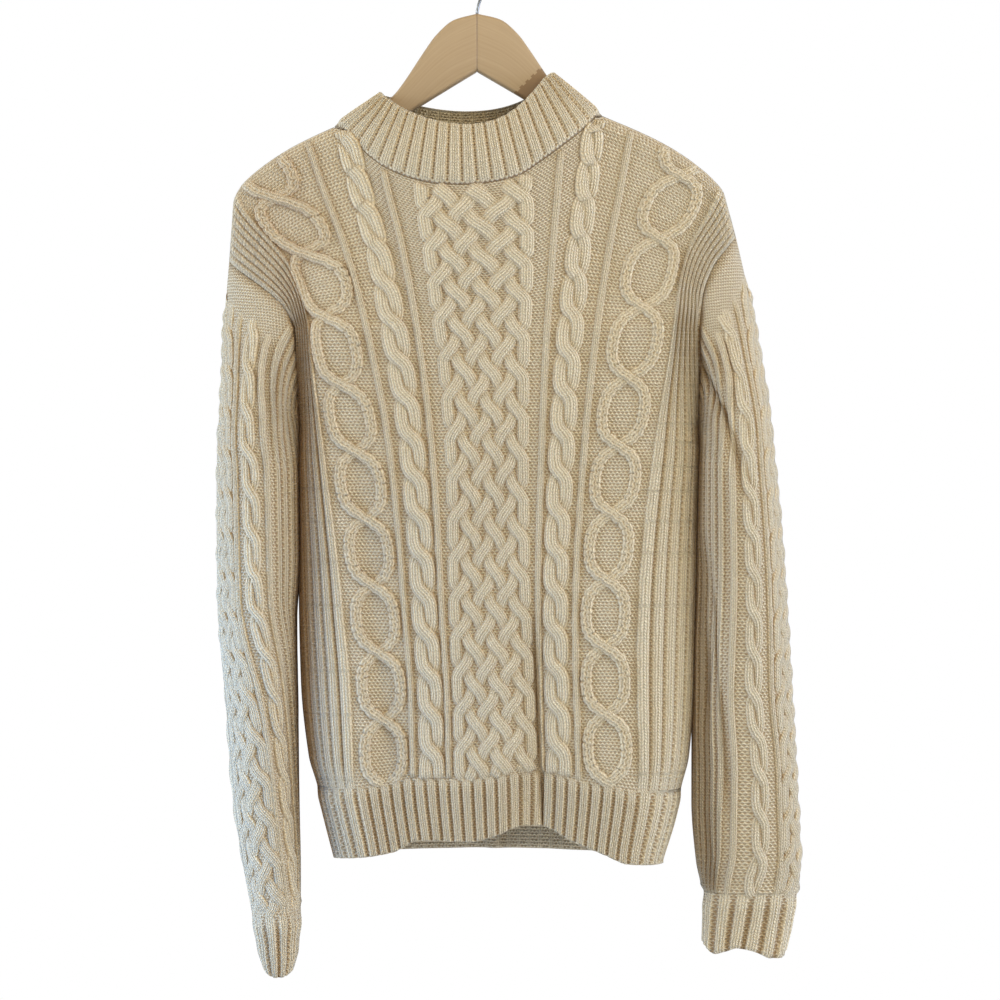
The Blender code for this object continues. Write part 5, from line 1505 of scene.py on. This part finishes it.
def plait_paths(strands, rows, steps):
    """For each strand, along its length: the row it has reached, its place and its rise."""
    part = np.arange(steps) / steps
    for start in range(strands):
        slot, reached, place, rise = start, [], [], []
        for row in rows:
            first = (slot - row) % 2 == 1
            partner = slot + 1 if first else slot - 1
            alone = not 0 <= partner < strands
            over = (1 if first else -1) * (1 if row % 2 == 0 else -1)
            partner = slot if alone else partner
            reached.append(row + part)
            place.append(slot + (partner - slot) * (0.6 * part + 0.4 * ease(0.0, 1.0, part)))
            rise.append(np.zeros(steps) if alone else over * np.sin(math.pi * part))
            slot = partner
        yield np.concatenate(reached), np.concatenate(place), np.concatenate(rise)


def make_plait(name, surface, strands, table, width, rows, finish):
    """All strands of a plait, as one piece."""
    cloth = Knitting()
    for reached, place, rise in plait_paths(strands, rows, 8):
        drop = crossing_drop(table, (reached - 0.5) / 2)
        spacing = through(width["drop"], width["spacing"], drop)
        spread = surface(np.zeros(len(drop)), drop)[2]
        column = (place - (strands - 1) / 2) * spacing / spread
        half = 0.565 * spacing * (10.4 / spacing) ** 0.5
        lay_strand(cloth, surface, column, drop, PLAIT_TOP + PLAIT_RISE * rise, half, 3, 13)
    return cloth.build(name, finish)


# %% Ropes
ROPE_TOP = 3.6
ROPE_RISE = 1.9
ROPE_REACH = 5.7           # how far a strand swings to each side, in true millimetres
ROPE_HALF = 6.7            # half the width of a strand
ROPE_BEND = 1.7            # how sharply a strand turns at a crossing


def make_ropes(name, surface, at, table, numbers, finish, size=1.0, lean=1.0, count=3):
    """Two ropes, one on each side of the middle, whose strands rest apart between crossings."""
    cloth = Knitting()
    for side, arm in ((-1.0, "right"), (1.0, "left")):
        number = np.arange(numbers[0], numbers[1], 1 / 13)
        drop = crossing_drop(table, number, arm if arm in table else "drop")
        spread = surface(np.full(len(drop), side * at), drop)[2]
        for strand in (0, 1):
            turn = math.pi * (number + strand + 0.5)
            apart = np.tanh(ROPE_BEND * np.cos(turn)) / math.tanh(ROPE_BEND)
            column = side * at - lean * ROPE_REACH * size * apart * spread ** 0.15 / spread
            lift = np.sin(turn) * np.abs(np.sin(turn))
            lay_strand(cloth, surface, column, drop, (ROPE_TOP + ROPE_RISE * lift) * size ** 0.5,
                       ROPE_HALF * size * spread ** 0.15, count, 13)
    return cloth.build(name, finish)


# %% Diamonds
LINE_TOP = 3.7
LINE_RISE = 0.9
LINE_WIDE = 5.3            # half the width of a diamond's line
LINE_BEND = 1.6            # how sharply it turns at a crossing
LINE_WOBBLE = {"every": 6.1, "by": 0.8}   # how the line steps from side to side with its stitches
DIAMOND_WIDTH = {"drop": (237.0, 295.0, 420.0, 550.0), "half": (22.0, 21.0, 18.5, 17.2)}


def make_diamonds(name, surface, table, finish):
    """Both columns of diamonds of a panel, as two lines that cross."""
    cloth = Knitting()
    for side, arm in ((-1.0, "right"), (1.0, "left")):
        number = np.arange(-0.8, 9.8, 1 / 42)
        drop = crossing_drop(table, number, arm)
        middle = np.full(len(drop), side * DIAMOND_AT)
        spread = surface(middle, drop)[2]
        wide = through(DIAMOND_WIDTH["drop"], DIAMOND_WIDTH["half"], drop)
        wave = np.sin(math.pi * number)
        for line in (-1.0, 1.0):
            wobble = LINE_WOBBLE["by"] * np.sin(drop / LINE_WOBBLE["every"] * 2 * math.pi + line)
            bent = np.tanh(LINE_BEND * wave) / math.tanh(LINE_BEND)
            reach = line * (bent * wide + wobble) / spread
            over = line * np.cos(math.pi * number)
            top = LINE_TOP + LINE_RISE * over * (1 - np.abs(wave)) ** 0.5
            lay_strand(cloth, surface, middle + reach, drop, top, LINE_WIDE, 2, 9, 1.8)
    return cloth.build(name, finish)


# %% Fine ribs
FINE_TOP = 2.8
FINE_HALF = 3.3            # half the width of a fine rib


def make_fine_ribs(name, surface, places, drops, finish):
    """Straight double lines between the cables."""
    cloth = Knitting()
    drop = np.arange(drops[0], drops[1], 3.5)
    for at in places:
        for side in (-1.0, 1.0):
            column = np.full(len(drop), side * at)
            lay_strand(cloth, surface, column, drop, FINE_TOP, FINE_HALF, 2, 9, 0.8)
    return cloth.build(name, finish)


# %% Cables of the body
cables = {}
for panel in ("front", "back"):
    surface = on_panel(panel)
    cables[panel] = [
        make_plait(panel + "_plait", surface, PLAIT_STRANDS, PLAIT_ROWS, PLAIT_WIDTH,
                   range(-3, 36), wool_body),
        make_ropes(panel + "_ropes", surface, ROPE_AT, ROPE_ROWS, (-1.3, 17.4), wool_body),
        make_diamonds(panel + "_diamonds", surface, DIAMOND_ROWS, wool_body),
        make_fine_ribs(panel + "_fine_ribs", surface, FINE_RIBS_AT, (150.0, 800.0), wool_body)]

# %% [markdown]
# ## Sleeves
#
# A sleeve is knitted flat, seamed under the arm and set into the armhole, so its wall is a closed
# tube. Its chart has a plait of five strands with a rope on each side, and ribs under the arm.

# %% Sleeve walls
CUFF_TURNS = {"right": 8.5, "left": 6.5}   # ribs in half a cuff
CUFF_RAISE = 3.8
CUFF_AT = 0.95             # where on a sleeve the ribs of its cuff are spaced
CUFF_POINTS = 144          # points round a cuff
LINING_POINTS = 36         # points round the inside of a sleeve
CUFF_FULL = {"right": 2.4, "left": 1.2}    # how far the sleeve's fullness runs on into the cuff
CUFF_EDGE = {"angle": (0.0, 15.0, 40.0, 65.0, 80.0, 100.0, 125.0, 160.0, 180.0, 270.0, 360.0),
             "left": (9.0, 7.0, 0.5, 4.0, 7.0, 3.5, -3.0, -3.5, 1.0, 5.0, 9.0),
             "right": (6.0, 3.0, 1.0, 0.0, 0.0, 0.0, 2.0, 7.0, 11.0, 6.0, 6.0)}


def cuff_wave(angle, run, arm):
    """How far the cuff's edge is drawn up at each angle."""
    turn = np.degrees(angle) % 360
    rise = through(CUFF_EDGE["angle"], CUFF_EDGE[arm], turn) * ease(0.93, 1.01, run) ** 1.5
    return np.stack((np.zeros(turn.shape), np.zeros(turn.shape), rise * np.ones(turn.shape)),
                    axis=-1)


def cuff_columns(arm):
    """Columns of a cuff that lie evenly round it."""
    fine = np.linspace(-SLEEVE_HALF, SLEEVE_HALF, 361)
    way = lengths(sleeve_ground(sleeve_angle(fine, CUFF_AT, arm), CUFF_AT, arm))
    return np.interp(np.arange(CUFF_POINTS) / CUFF_POINTS, way / way[-1], fine)


def sleeve_outer(column, run, arm, turn=None):
    """Outer points of a sleeve, or of its cuff by the turn of its ribs, with the knit share."""
    column, run = both(column, run)
    angle = sleeve_angle(column, run, arm)
    ground = sleeve_ground(angle, run, arm)
    _, out = sleeve_frame(angle, run, arm)
    end = cuff_share(arm)
    if turn is not None:
        raised, knit = double_rib(turn, CUFF_PURL)
        raised = (raised - 0.55) * CUFF_RAISE * ease(end, end + 0.03, run)
        raised = raised + CUFF_FULL[arm] * (1 - ease(end + 0.01, end + 0.05, run))
    else:
        raised, knit = under_ribs(column)
        raised = (raised * (1 - ease(end - 0.012, end, run))
                  + CUFF_FULL[arm] * ease(end - 0.02, end, run))
    fade = ease(0.0, 0.016, run)
    pressed = 1 - 0.8 * faces_body(angle, -ground[..., 2])
    place = ground + out * (raised * fade * pressed)[:, None]
    return place + cuff_wave(angle, run, arm), knit


def sleeve_inner(angle, run, arm):
    """Inner point of a sleeve's wall below its seam."""
    thick = SEAM_WALL + (WALL - SEAM_WALL) * ease(0.0, 0.03, run)
    return sleeve_ground(angle, run, arm, thick)


def sleeve_columns():
    """Columns of points round a sleeve."""
    half = np.concatenate((np.arange(5.0, SLEEVE_RIBS_FROM - 2, 5.0),
                           np.arange(SLEEVE_RIBS_FROM, SLEEVE_HALF - 0.1, SLEEVE_RIB / 8)))
    return np.concatenate(([-SLEEVE_HALF], -half[::-1], [0.0], half))


ARM_WALES = 18.0           # wales from the middle of a sleeve to its ribs
CAP_FULLER = 0.6           # more wales at the top of the sleeve, where it is widest


def sleeve_line(run, arm):
    """Count of knitted rows down a sleeve."""
    return (UNDERARM - CAP_RISE + run * (sleeve_end(arm) - UNDERARM + CAP_RISE)) / ROW


def make_sleeve(arm, finish):
    """Sleeve with its cuff, as one closed wall."""
    cloth = Knitting()
    columns = sleeve_columns()
    ribs = cuff_columns(arm)
    turn = (np.arange(CUFF_POINTS) / (CUFF_POINTS // 2) - 1) * CUFF_TURNS[arm]
    plain = SLEEVE_HALF * (np.arange(LINING_POINTS) / (LINING_POINTS // 2) - 1)
    levels = panel_levels()
    edge = levels[levels <= UNDERARM + 0.1]
    edge[0] = UNDERARM
    end = cuff_share(arm)
    step = 2.6 / (sleeve_end(arm) - UNDERARM + CAP_RISE)
    runs = np.concatenate(([0.012], np.arange(0.012 + step, end, step)))
    cuff_runs = np.concatenate((np.linspace(end + 0.0008, 0.996, 22), [1.0]))

    def turned(values):
        """Places round a ring by angle, the underarm first."""
        return 1 - np.asarray(values) / (2 * math.pi)

    first_points = np.roll(sleeve_start(edge, arm, 0.0)[::-1], 1, axis=0)
    edge_at = np.append(0.0, turned(armhole_angles(edge, arm)[::-1]))
    count = wales(np.append(columns, SLEEVE_HALF), SLEEVE_WALES)
    near = turned(sleeve_angle(np.append(columns, SLEEVE_HALF), runs[0], arm))
    body, counts, lines = [], [], []
    shapes = [sleeve_outer(columns, run, arm) for run in runs]
    steps = np.linalg.norm(np.diff([points for points, _ in shapes], axis=0), axis=2)
    below = np.concatenate((np.cumsum(steps[::-1], axis=0)[::-1], np.zeros((1, len(columns)))))
    chart = np.clip(count, -ARM_WALES, ARM_WALES)
    for run, rest, (points, knit) in zip(runs, below, shapes):
        fuller = 1 + CAP_FULLER * (1 - ease(0.02, 0.2, run))
        counts.append(count + chart * (fuller - 1))
        lines.append(sleeve_line(runs[-1], arm) - np.append(rest, rest[0]) / ROW)
        body.append(cloth.row(points, counts[-1], lines[-1], np.append(knit, knit[0]), closed=True))
    start = np.append(shapes[0][0], shapes[0][0][:1], axis=0)
    start = np.stack([np.interp(edge_at, near, start[:, axis]) for axis in range(3)], axis=1)
    away = np.linalg.norm(start - np.append(first_points, first_points[:1], axis=0), axis=1)
    seam_count = np.interp(edge_at, near, counts[0])
    seam_rows = np.interp(edge_at, near, lines[0]) - away / ROW
    first = cloth.row(first_points, seam_count, seam_rows, 0.0, closed=True)
    cloth.join(first, body[0], edge_at, near)
    cloth.sheet(body)
    cuff = []
    for run in cuff_runs:
        points, knit = sleeve_outer(ribs, run, arm, turn)
        if run == 1.0:
            angle = sleeve_angle(ribs, run, arm)
            points = (points + sleeve_inner(angle, run, arm) + cuff_wave(angle, run, arm)) / 2
        turns = np.append(turn, CUFF_TURNS[arm])
        cuff.append(cloth.row(points, 3 * turns + 0.5, sleeve_line(run, arm),
                              np.append(knit, knit[0]), closed=True))
    column_at = shares(np.append(columns, SLEEVE_HALF))
    rib_at = shares(np.append(ribs, SLEEVE_HALF))
    cloth.join(body[-1], cuff[0], column_at, rib_at)
    cloth.sheet(cuff)

    inner_points = np.roll(sleeve_start(edge, arm, SEAM_WALL)[::-1], 1, axis=0)
    inner_first = cloth.row(inner_points, seam_count, seam_rows, 1.0, closed=True)
    inner_runs = np.concatenate(([0.02, 0.04, 0.06, 0.09], np.linspace(0.12, 0.998, 46)))
    inner = []
    count = wales(np.append(plain, SLEEVE_HALF), SLEEVE_WALES)
    for run in inner_runs:
        angle = sleeve_angle(plain, run, arm)
        points = sleeve_inner(angle, run, arm) + cuff_wave(angle, run, arm)
        inner.append(cloth.row(points, count, sleeve_line(run, arm), 1.0, closed=True))
    near = turned(sleeve_angle(np.append(plain, SLEEVE_HALF), inner_runs[0], arm))
    cloth.join(inner_first, inner[0], edge_at, near)
    cloth.sheet(inner)
    cloth.join(first, inner_first)
    cloth.join(cuff[-1], inner[-1], rib_at, shares(np.append(plain, SLEEVE_HALF)))
    return cloth.build("sleeve_" + arm + "_knit", finish)


sleeves = {arm: make_sleeve(arm, wool_sleeves) for arm in ("right", "left")}

# %% Cables of the sleeves
SLEEVE_PLAIT_WIDTH = {"drop": (240.0, 900.0),
                      "spacing": (SLEEVE_PLAIT_SPACING, SLEEVE_PLAIT_SPACING)}

for arm, lean in (("right", 1.0), ("left", -1.0)):
    surface = on_sleeve(arm)
    name = "sleeve_" + arm
    cables[name] = [
        make_plait(name + "_plait", surface, SLEEVE_PLAIT_STRANDS, SLEEVE_ROWS, SLEEVE_PLAIT_WIDTH,
                   range(-8, 32), wool_sleeves),
        make_ropes(name + "_ropes", surface, SLEEVE_ROPE_AT, SLEEVE_ROWS, (-4.4, 15.6),
                   wool_sleeves, SLEEVE_ROPE_SIZE * 0.92, lean, 2),
        make_fine_ribs(name + "_fine_ribs", surface, SLEEVE_FINE_AT, (236.0, 900.0), wool_sleeves)]

# %% [markdown]
# ## Collar
#
# The collar's ribs run up from the neck seam. The inside of its back shows above the front rim, so
# the inner side is ribbed too, with ridges where the outside has grooves.

# %% Collar wall
COLLAR_TALL = 58.0         # knitted height
COLLAR_RAISE = 2.9


def make_collar(finish):
    """Mock-neck collar, as one closed ribbed wall."""
    cloth = Knitting()
    count = COLLAR_RIBS * 8
    share = np.arange(count) / count
    ridge, knit = double_rib(share * COLLAR_RIBS, COLLAR_PURL)
    wale = 3 * np.append(share, 1.0) * COLLAR_RIBS + 0.5
    knit_all = np.append(knit, knit[0])
    edge = panel_columns()
    edge = np.concatenate(([-NECK_HALF], edge[np.abs(edge) < NECK_HALF - 0.5], [NECK_HALF]))
    edge_at = np.append(neck_shares(edge), 1.0)
    share_at = np.append(share, 1.0)
    heights = np.linspace(0.05, 0.965, 30)
    tall = COLLAR_TALL / ROW
    inside_knit = np.clip(1 - knit_all, 0, 1)

    def wall_point(height, raised):
        """Points of the wall all round at one height, raised over its ground."""
        up, out = collar_frame(share, np.full(count, height))
        ground = collar_ground(share, np.full(count, height)) + up * SEAM_GAP * (1 - height)
        return ground + out * (raised * np.ones(count))[:, None]

    outer, inner = [], []
    for height in heights:
        raised = (COLLAR_RAISE * ridge - 0.7) * ease(0.0, 0.12, height)
        outer.append(cloth.row(wall_point(height, raised), wale, height * tall, knit_all,
                               closed=True))
        sink = WALL - 1.3 * (1 - ridge) * ease(0.0, 0.2, height)
        inner.append(cloth.row(wall_point(height, -sink), wale, height * tall, inside_knit,
                               closed=True))
    rounded = (COLLAR_RAISE * ridge - 1.6) * 0.75
    over = cloth.row(wall_point(0.992, rounded), wale, tall, knit_all, closed=True)
    rim = cloth.row(wall_point(1.0, -WALL / 2), wale, tall + 1, knit_all, closed=True)
    under = cloth.row(wall_point(0.992, -WALL * 0.85), wale, tall + 2, inside_knit, closed=True)
    edge_wale = np.interp(edge_at, share_at, wale)
    # A knit share below zero paints shade along the seam row.
    first = cloth.row(collar_start(edge, 0.0), edge_wale, 0.5, -0.5, closed=True)
    last = cloth.row(collar_start(edge, SEAM_WALL), edge_wale, 0.0, 1.0, closed=True)
    cloth.join(first, outer[0], edge_at, share_at)
    cloth.sheet(outer + [over, rim, under] + inner[::-1])
    cloth.join(inner[0], last, share_at, edge_at)
    cloth.join(last, first)
    return cloth.build("collar_ribbing", finish)


collar = make_collar(wool_ribs)

# %% [markdown]
# ## Wooden hanger
#
# The hanger is flat pale wood in two halves, glued at a mitre under the hook. Its grain runs along
# each arm, so each half gets a UV map that measures along and across the arm. One arm is made from
# two lengths of wood with a finger joint, which shows as a small dark stepped line.

# %% Wood finish
WOOD_LIGHT = (0.48, 0.355, 0.215, 1)
WOOD_DARK = (0.37, 0.255, 0.140, 1)
WOOD_GLUE = (0.16, 0.085, 0.04, 1)
WOOD_SECOND = (0.25, 0.150, 0.070, 1)     # the second, darker length of wood
FINGER_AT = 0.0595         # reach of the finger joint along the arm, in metres


def make_wood(name, with_joint):
    """Pale wood with long grain and a satin coat."""
    make = Finish(name)
    grain_map = make.node("UVMap")
    grain_map.uv_map = "grain"
    split = make.node("SeparateXYZ", Vector=grain_map.outputs[0])
    along, across = split.outputs["X"], split.outputs["Y"]
    stretched = make.node("CombineXYZ", X=make.math("MULTIPLY", along, 5.0),
                          Y=make.math("MULTIPLY", across, 420.0))
    bands = make.node("TexNoise", Vector=stretched.outputs[0], Scale=1.0, Detail=3.0,
                      Distortion=0.4).outputs["Fac"]
    fine = make.node("CombineXYZ", X=make.math("MULTIPLY", along, 60.0),
                     Y=make.math("MULTIPLY", across, 2400.0))
    pores = make.node("TexNoise", Vector=fine.outputs[0], Scale=1.0, Detail=2.0).outputs["Fac"]
    share = make.math("MULTIPLY_ADD", bands, 1.1, -0.3)
    share = make.math("MULTIPLY_ADD", pores, 0.5, share)
    colour = make.blend(make.node("Clamp", Value=share).outputs[0], WOOD_LIGHT, WOOD_DARK)
    glue = make.math("MULTIPLY", make.math("LESS_THAN", along, 0.0004), 0.6)
    if with_joint:
        step = make.math("ROUND", make.math("FRACT", make.math("MULTIPLY", across, 100.0)))
        stepped = make.math("MULTIPLY_ADD", step, 0.0016, along)
        line = make.math("MULTIPLY_ADD", across, 0.72, stepped)
        beyond = make.math("GREATER_THAN", line, FINGER_AT)
        colour = make.blend(beyond, colour, WOOD_SECOND)
    colour = make.blend(glue, colour, WOOD_GLUE)
    make.feed(make.shader.inputs["Base Color"], colour)
    raised = make.node("Bump", Height=pores, Distance=0.0002, Strength=0.3)
    make.feed(make.shader.inputs["Normal"], raised.outputs[0])
    rough = make.math("MULTIPLY_ADD", bands, 0.14, 0.38)
    make.feed(make.shader.inputs["Roughness"], rough)
    make.shader.inputs["Coat Weight"].default_value = 0.2
    make.shader.inputs["Coat Roughness"].default_value = 0.3
    return make.material


wood = {"right": make_wood("pale_wood", False), "left": make_wood("pale_wood_jointed", True)}

# %% Hanger halves
EDGE_POINTS = 6            # points round each rounded edge of the wood
MITRE_EASE = 0.3           # the edges at the mitre are broken by this much
MITRE_GLUE = 0.03          # half the thickness of the glue in the mitre


def make_hanger_half(arm):
    """One half of the hanger, with rounded long edges and a lightly broken mitre edge."""
    side = -1.0 if arm == "right" else 1.0
    reaches = np.concatenate(([MITRE_GLUE], MITRE_GLUE + np.array([0.25, 0.8]),
                              np.arange(3.0, 205.0, 2.5), [207.0, 209.5, 211.5, 213.0, 214.0]))
    shape = bmesh.new()
    grain = shape.loops.layers.uv.new("grain")
    rings, places = [], {}
    middle = (hanger_edge(side * reaches, "top") + hanger_edge(side * reaches, "bottom")) / 2
    run = lengths(np.stack((reaches, middle), axis=1))
    for k, reach in enumerate(reaches):
        x = side * reach
        top, bottom = float(hanger_edge(x, "top")), float(hanger_edge(x, "bottom"))
        shy = MITRE_EASE * max(0.0, 1 - (reach - MITRE_GLUE) / 0.8)
        soft = min(HANGER_EDGE, (bottom - top) * 0.42)
        half = HANGER_THICK / 2 - shy
        corners = ((half - soft, top + soft + shy), (-half + soft, top + soft + shy),
                   (-half + soft, bottom - soft - shy), (half - soft, bottom - soft - shy))
        ring = []
        for quarter, (y, drop) in enumerate(corners):
            for j in range(EDGE_POINTS):
                angle = math.pi / 2 * (quarter + j / (EDGE_POINTS - 1))
                spot = (x, y + soft * math.cos(angle), soft * math.sin(angle) - drop)
                point = shape.verts.new([v * MM for v in spot])
                places[point] = (run[k] * MM, (-spot[2] - middle[k]) * MM)
                ring.append(point)
        rings.append(ring)
    for one, two in zip(rings[:-1], rings[1:]):
        for j in range(len(one)):
            following = (j + 1) % len(one)
            shape.faces.new((one[j], one[following], two[following], two[j]))
    shape.faces.new(rings[0])
    shape.faces.new(rings[-1])
    for face in shape.faces:
        face.smooth = len(face.verts) == 4
        for loop in face.loops:
            loop[grain].uv = places[loop.vert]
    return close_shape("hanger_half_" + arm, shape, wood[arm])


hanger_halves = {arm: make_hanger_half(arm) for arm in ("right", "left")}
print("size of the left half:", hanger_halves["left"].dimensions[:])

# %% [markdown]
# ## Hook
#
# The hook is bent steel wire that screws into the wood. It could be a curve with a bevel, and a
# swept mesh gives the same tube with closed ends.

# %% Steel finish
def make_steel():
    """Drawn steel wire: bright, with faint marks along it."""
    make = Finish("steel_wire")
    marks = make.noise(900.0, 3.0)
    rough = make.math("MULTIPLY_ADD", marks, 0.22, 0.2)
    make.feed(make.shader.inputs["Roughness"], rough)
    colour = make.blend(marks, (0.20, 0.20, 0.20, 1), (0.34, 0.335, 0.33, 1))
    make.feed(make.shader.inputs["Base Color"], colour)
    raised = make.node("Bump", Height=marks, Distance=0.0001, Strength=0.2)
    make.feed(make.shader.inputs["Normal"], raised.outputs[0])
    make.shader.inputs["Metallic"].default_value = 1.0
    return make.material


steel = make_steel()

# %% Hook wire
BEND_FROM = -52            # degrees round the bend, from the side of the hook where the shank ends
BEND_TO = 206


def hook_path():
    """Middle line of the bent wire, from its foot at the wood to its open end."""
    radius = HOOK_INSIDE + WIRE / 2
    centre = -HOOK_INSIDE
    foot = np.array((0.0, -float(hanger_edge(0.0, "top")) + HOOK_SINK))
    join_angle = math.radians(BEND_FROM)
    join = np.array((radius * math.cos(join_angle), centre + radius * math.sin(join_angle)))
    leave = np.array((0.6, 9.0))
    arrive = np.array((-math.sin(join_angle), math.cos(join_angle))) * 9.0
    points = []
    for t in np.linspace(0, 1, 9)[:-1]:
        bend = (foot * (1 - t) ** 3 + 3 * (foot + leave) * t * (1 - t) ** 2
                + 3 * (join - arrive) * t * t * (1 - t) + join * t ** 3)
        points.append(bend)
    for angle in np.radians(np.linspace(BEND_FROM, BEND_TO, 25)):
        points.append(np.array((radius * math.cos(angle), centre + radius * math.sin(angle))))
    return np.array([(p[0], 0.0, p[1]) for p in points])


def make_wire(sides=18):
    """The bent wire, with a rounded open end."""
    coarse = hook_path()
    at = np.linspace(0, 1, 150)
    place = shares(lengths(coarse))
    path = np.stack([np.interp(at, place, coarse[:, k]) for k in range(3)], axis=1)
    for _ in range(6):
        path[1:-1] = (path[:-2] + 2 * path[1:-1] + path[2:]) / 4
    shape = bmesh.new()
    rings = []
    for k, spot in enumerate(path):
        ahead = path[min(k + 1, len(path) - 1)] - path[max(k - 1, 0)]
        ahead = ahead / np.linalg.norm(ahead)
        if k == 0:
            ahead = np.array((0.0, 0.0, 1.0))
        sideways = np.array((ahead[2], 0.0, -ahead[0]))
        radius = WIRE / 2 * (1.0 if k < len(path) - 2 else (0.9 if k < len(path) - 1 else 0.55))
        ring = []
        for turn in np.arange(sides) / sides * 2 * math.pi:
            around = math.cos(turn) * sideways + math.sin(turn) * np.array((0.0, 1.0, 0.0))
            ring.append(shape.verts.new((spot + radius * around) * MM))
        rings.append(ring)
    for one, two in zip(rings[:-1], rings[1:]):
        for j in range(sides):
            face = shape.faces.new((one[j], one[(j + 1) % sides], two[(j + 1) % sides], two[j]))
            face.smooth = True
    shape.faces.new(rings[0])
    shape.faces.new(rings[-1])
    return close_shape("hanger_wire", shape, steel)


wire = make_wire()

# %% [markdown]
# ## Floor
#
# The garment hangs well above a pale floor. A disc with a faintly uneven tone is enough, because it
# only shows from above.

# %% Floor disc
FLOOR_DROP = 1.5
FLOOR_RADIUS = 2.8
FLOOR_DIM = (0.86, 0.86, 0.85, 1)
FLOOR_PALE = (0.9, 0.9, 0.89, 1)


def make_floor():
    """Pale floor far below the hem."""
    make = Finish("pale_floor")
    tone = make.noise(1.5)
    make.feed(make.shader.inputs["Base Color"], make.blend(tone, FLOOR_DIM, FLOOR_PALE))
    make.shader.inputs["Roughness"].default_value = 0.8
    shape = bmesh.new()
    bmesh.ops.create_circle(shape, cap_ends=True, radius=FLOOR_RADIUS, segments=96)
    mesh = bpy.data.meshes.new("floor")
    shape.to_mesh(mesh)
    shape.free()
    floor = show("floor", mesh, make.material)
    floor.location = (0.0, 0.0, -FLOOR_DROP)


make_floor()

# %% [markdown]
# ## Putting the pieces on the frame
#
# Every piece rides on the one body, and the walls, the hanger halves and the wire take the place of
# their solids, which are hidden. The table also gives each sheet's slot, the size it was knitted to
# before it was hung and its area, which nothing here reads.

# %% Pieces on the frame
SHEETS = {"node": ("front", "back", "sleeve_right", "sleeve_left", "collar"),
          "slot": ("wool_front", "wool_back", "wool_sleeve_right", "wool_sleeve_left",
                   "wool_collar"),
          "flat": ((0.46, 0.68), (0.46, 0.68), (0.42, 0.62), (0.42, 0.62), (0.50, 0.06)),
          "area": (0.27, 0.27, 0.17, 0.17, 0.030)}
walls = {"front": panels["front"], "back": panels["back"], "sleeve_right": sleeves["right"],
         "sleeve_left": sleeves["left"], "collar": collar}
for node, slot, flat, area in zip(*SHEETS.values()):
    wall, laid = walls[node], cables.get(node, [])
    for piece in [wall] + laid:
        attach(piece, "root")
    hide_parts(node)
    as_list(laid)
for arm in ("right", "left"):
    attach(hanger_halves[arm], "root")
    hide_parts("hanger_arm_" + arm)
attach(wire, "root")
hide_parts("hanger_hook")

# %% Sizes and finish
total = 0
for thing in scene.objects:
    if thing.type == "MESH" and not thing.hide_render and thing.name not in frame["nodes"]:
        thing.data.calc_loop_triangles()
        total += len(thing.data.loop_triangles)
        print(thing.name, len(thing.data.loop_triangles), "triangles")
print("all", total, "triangles")
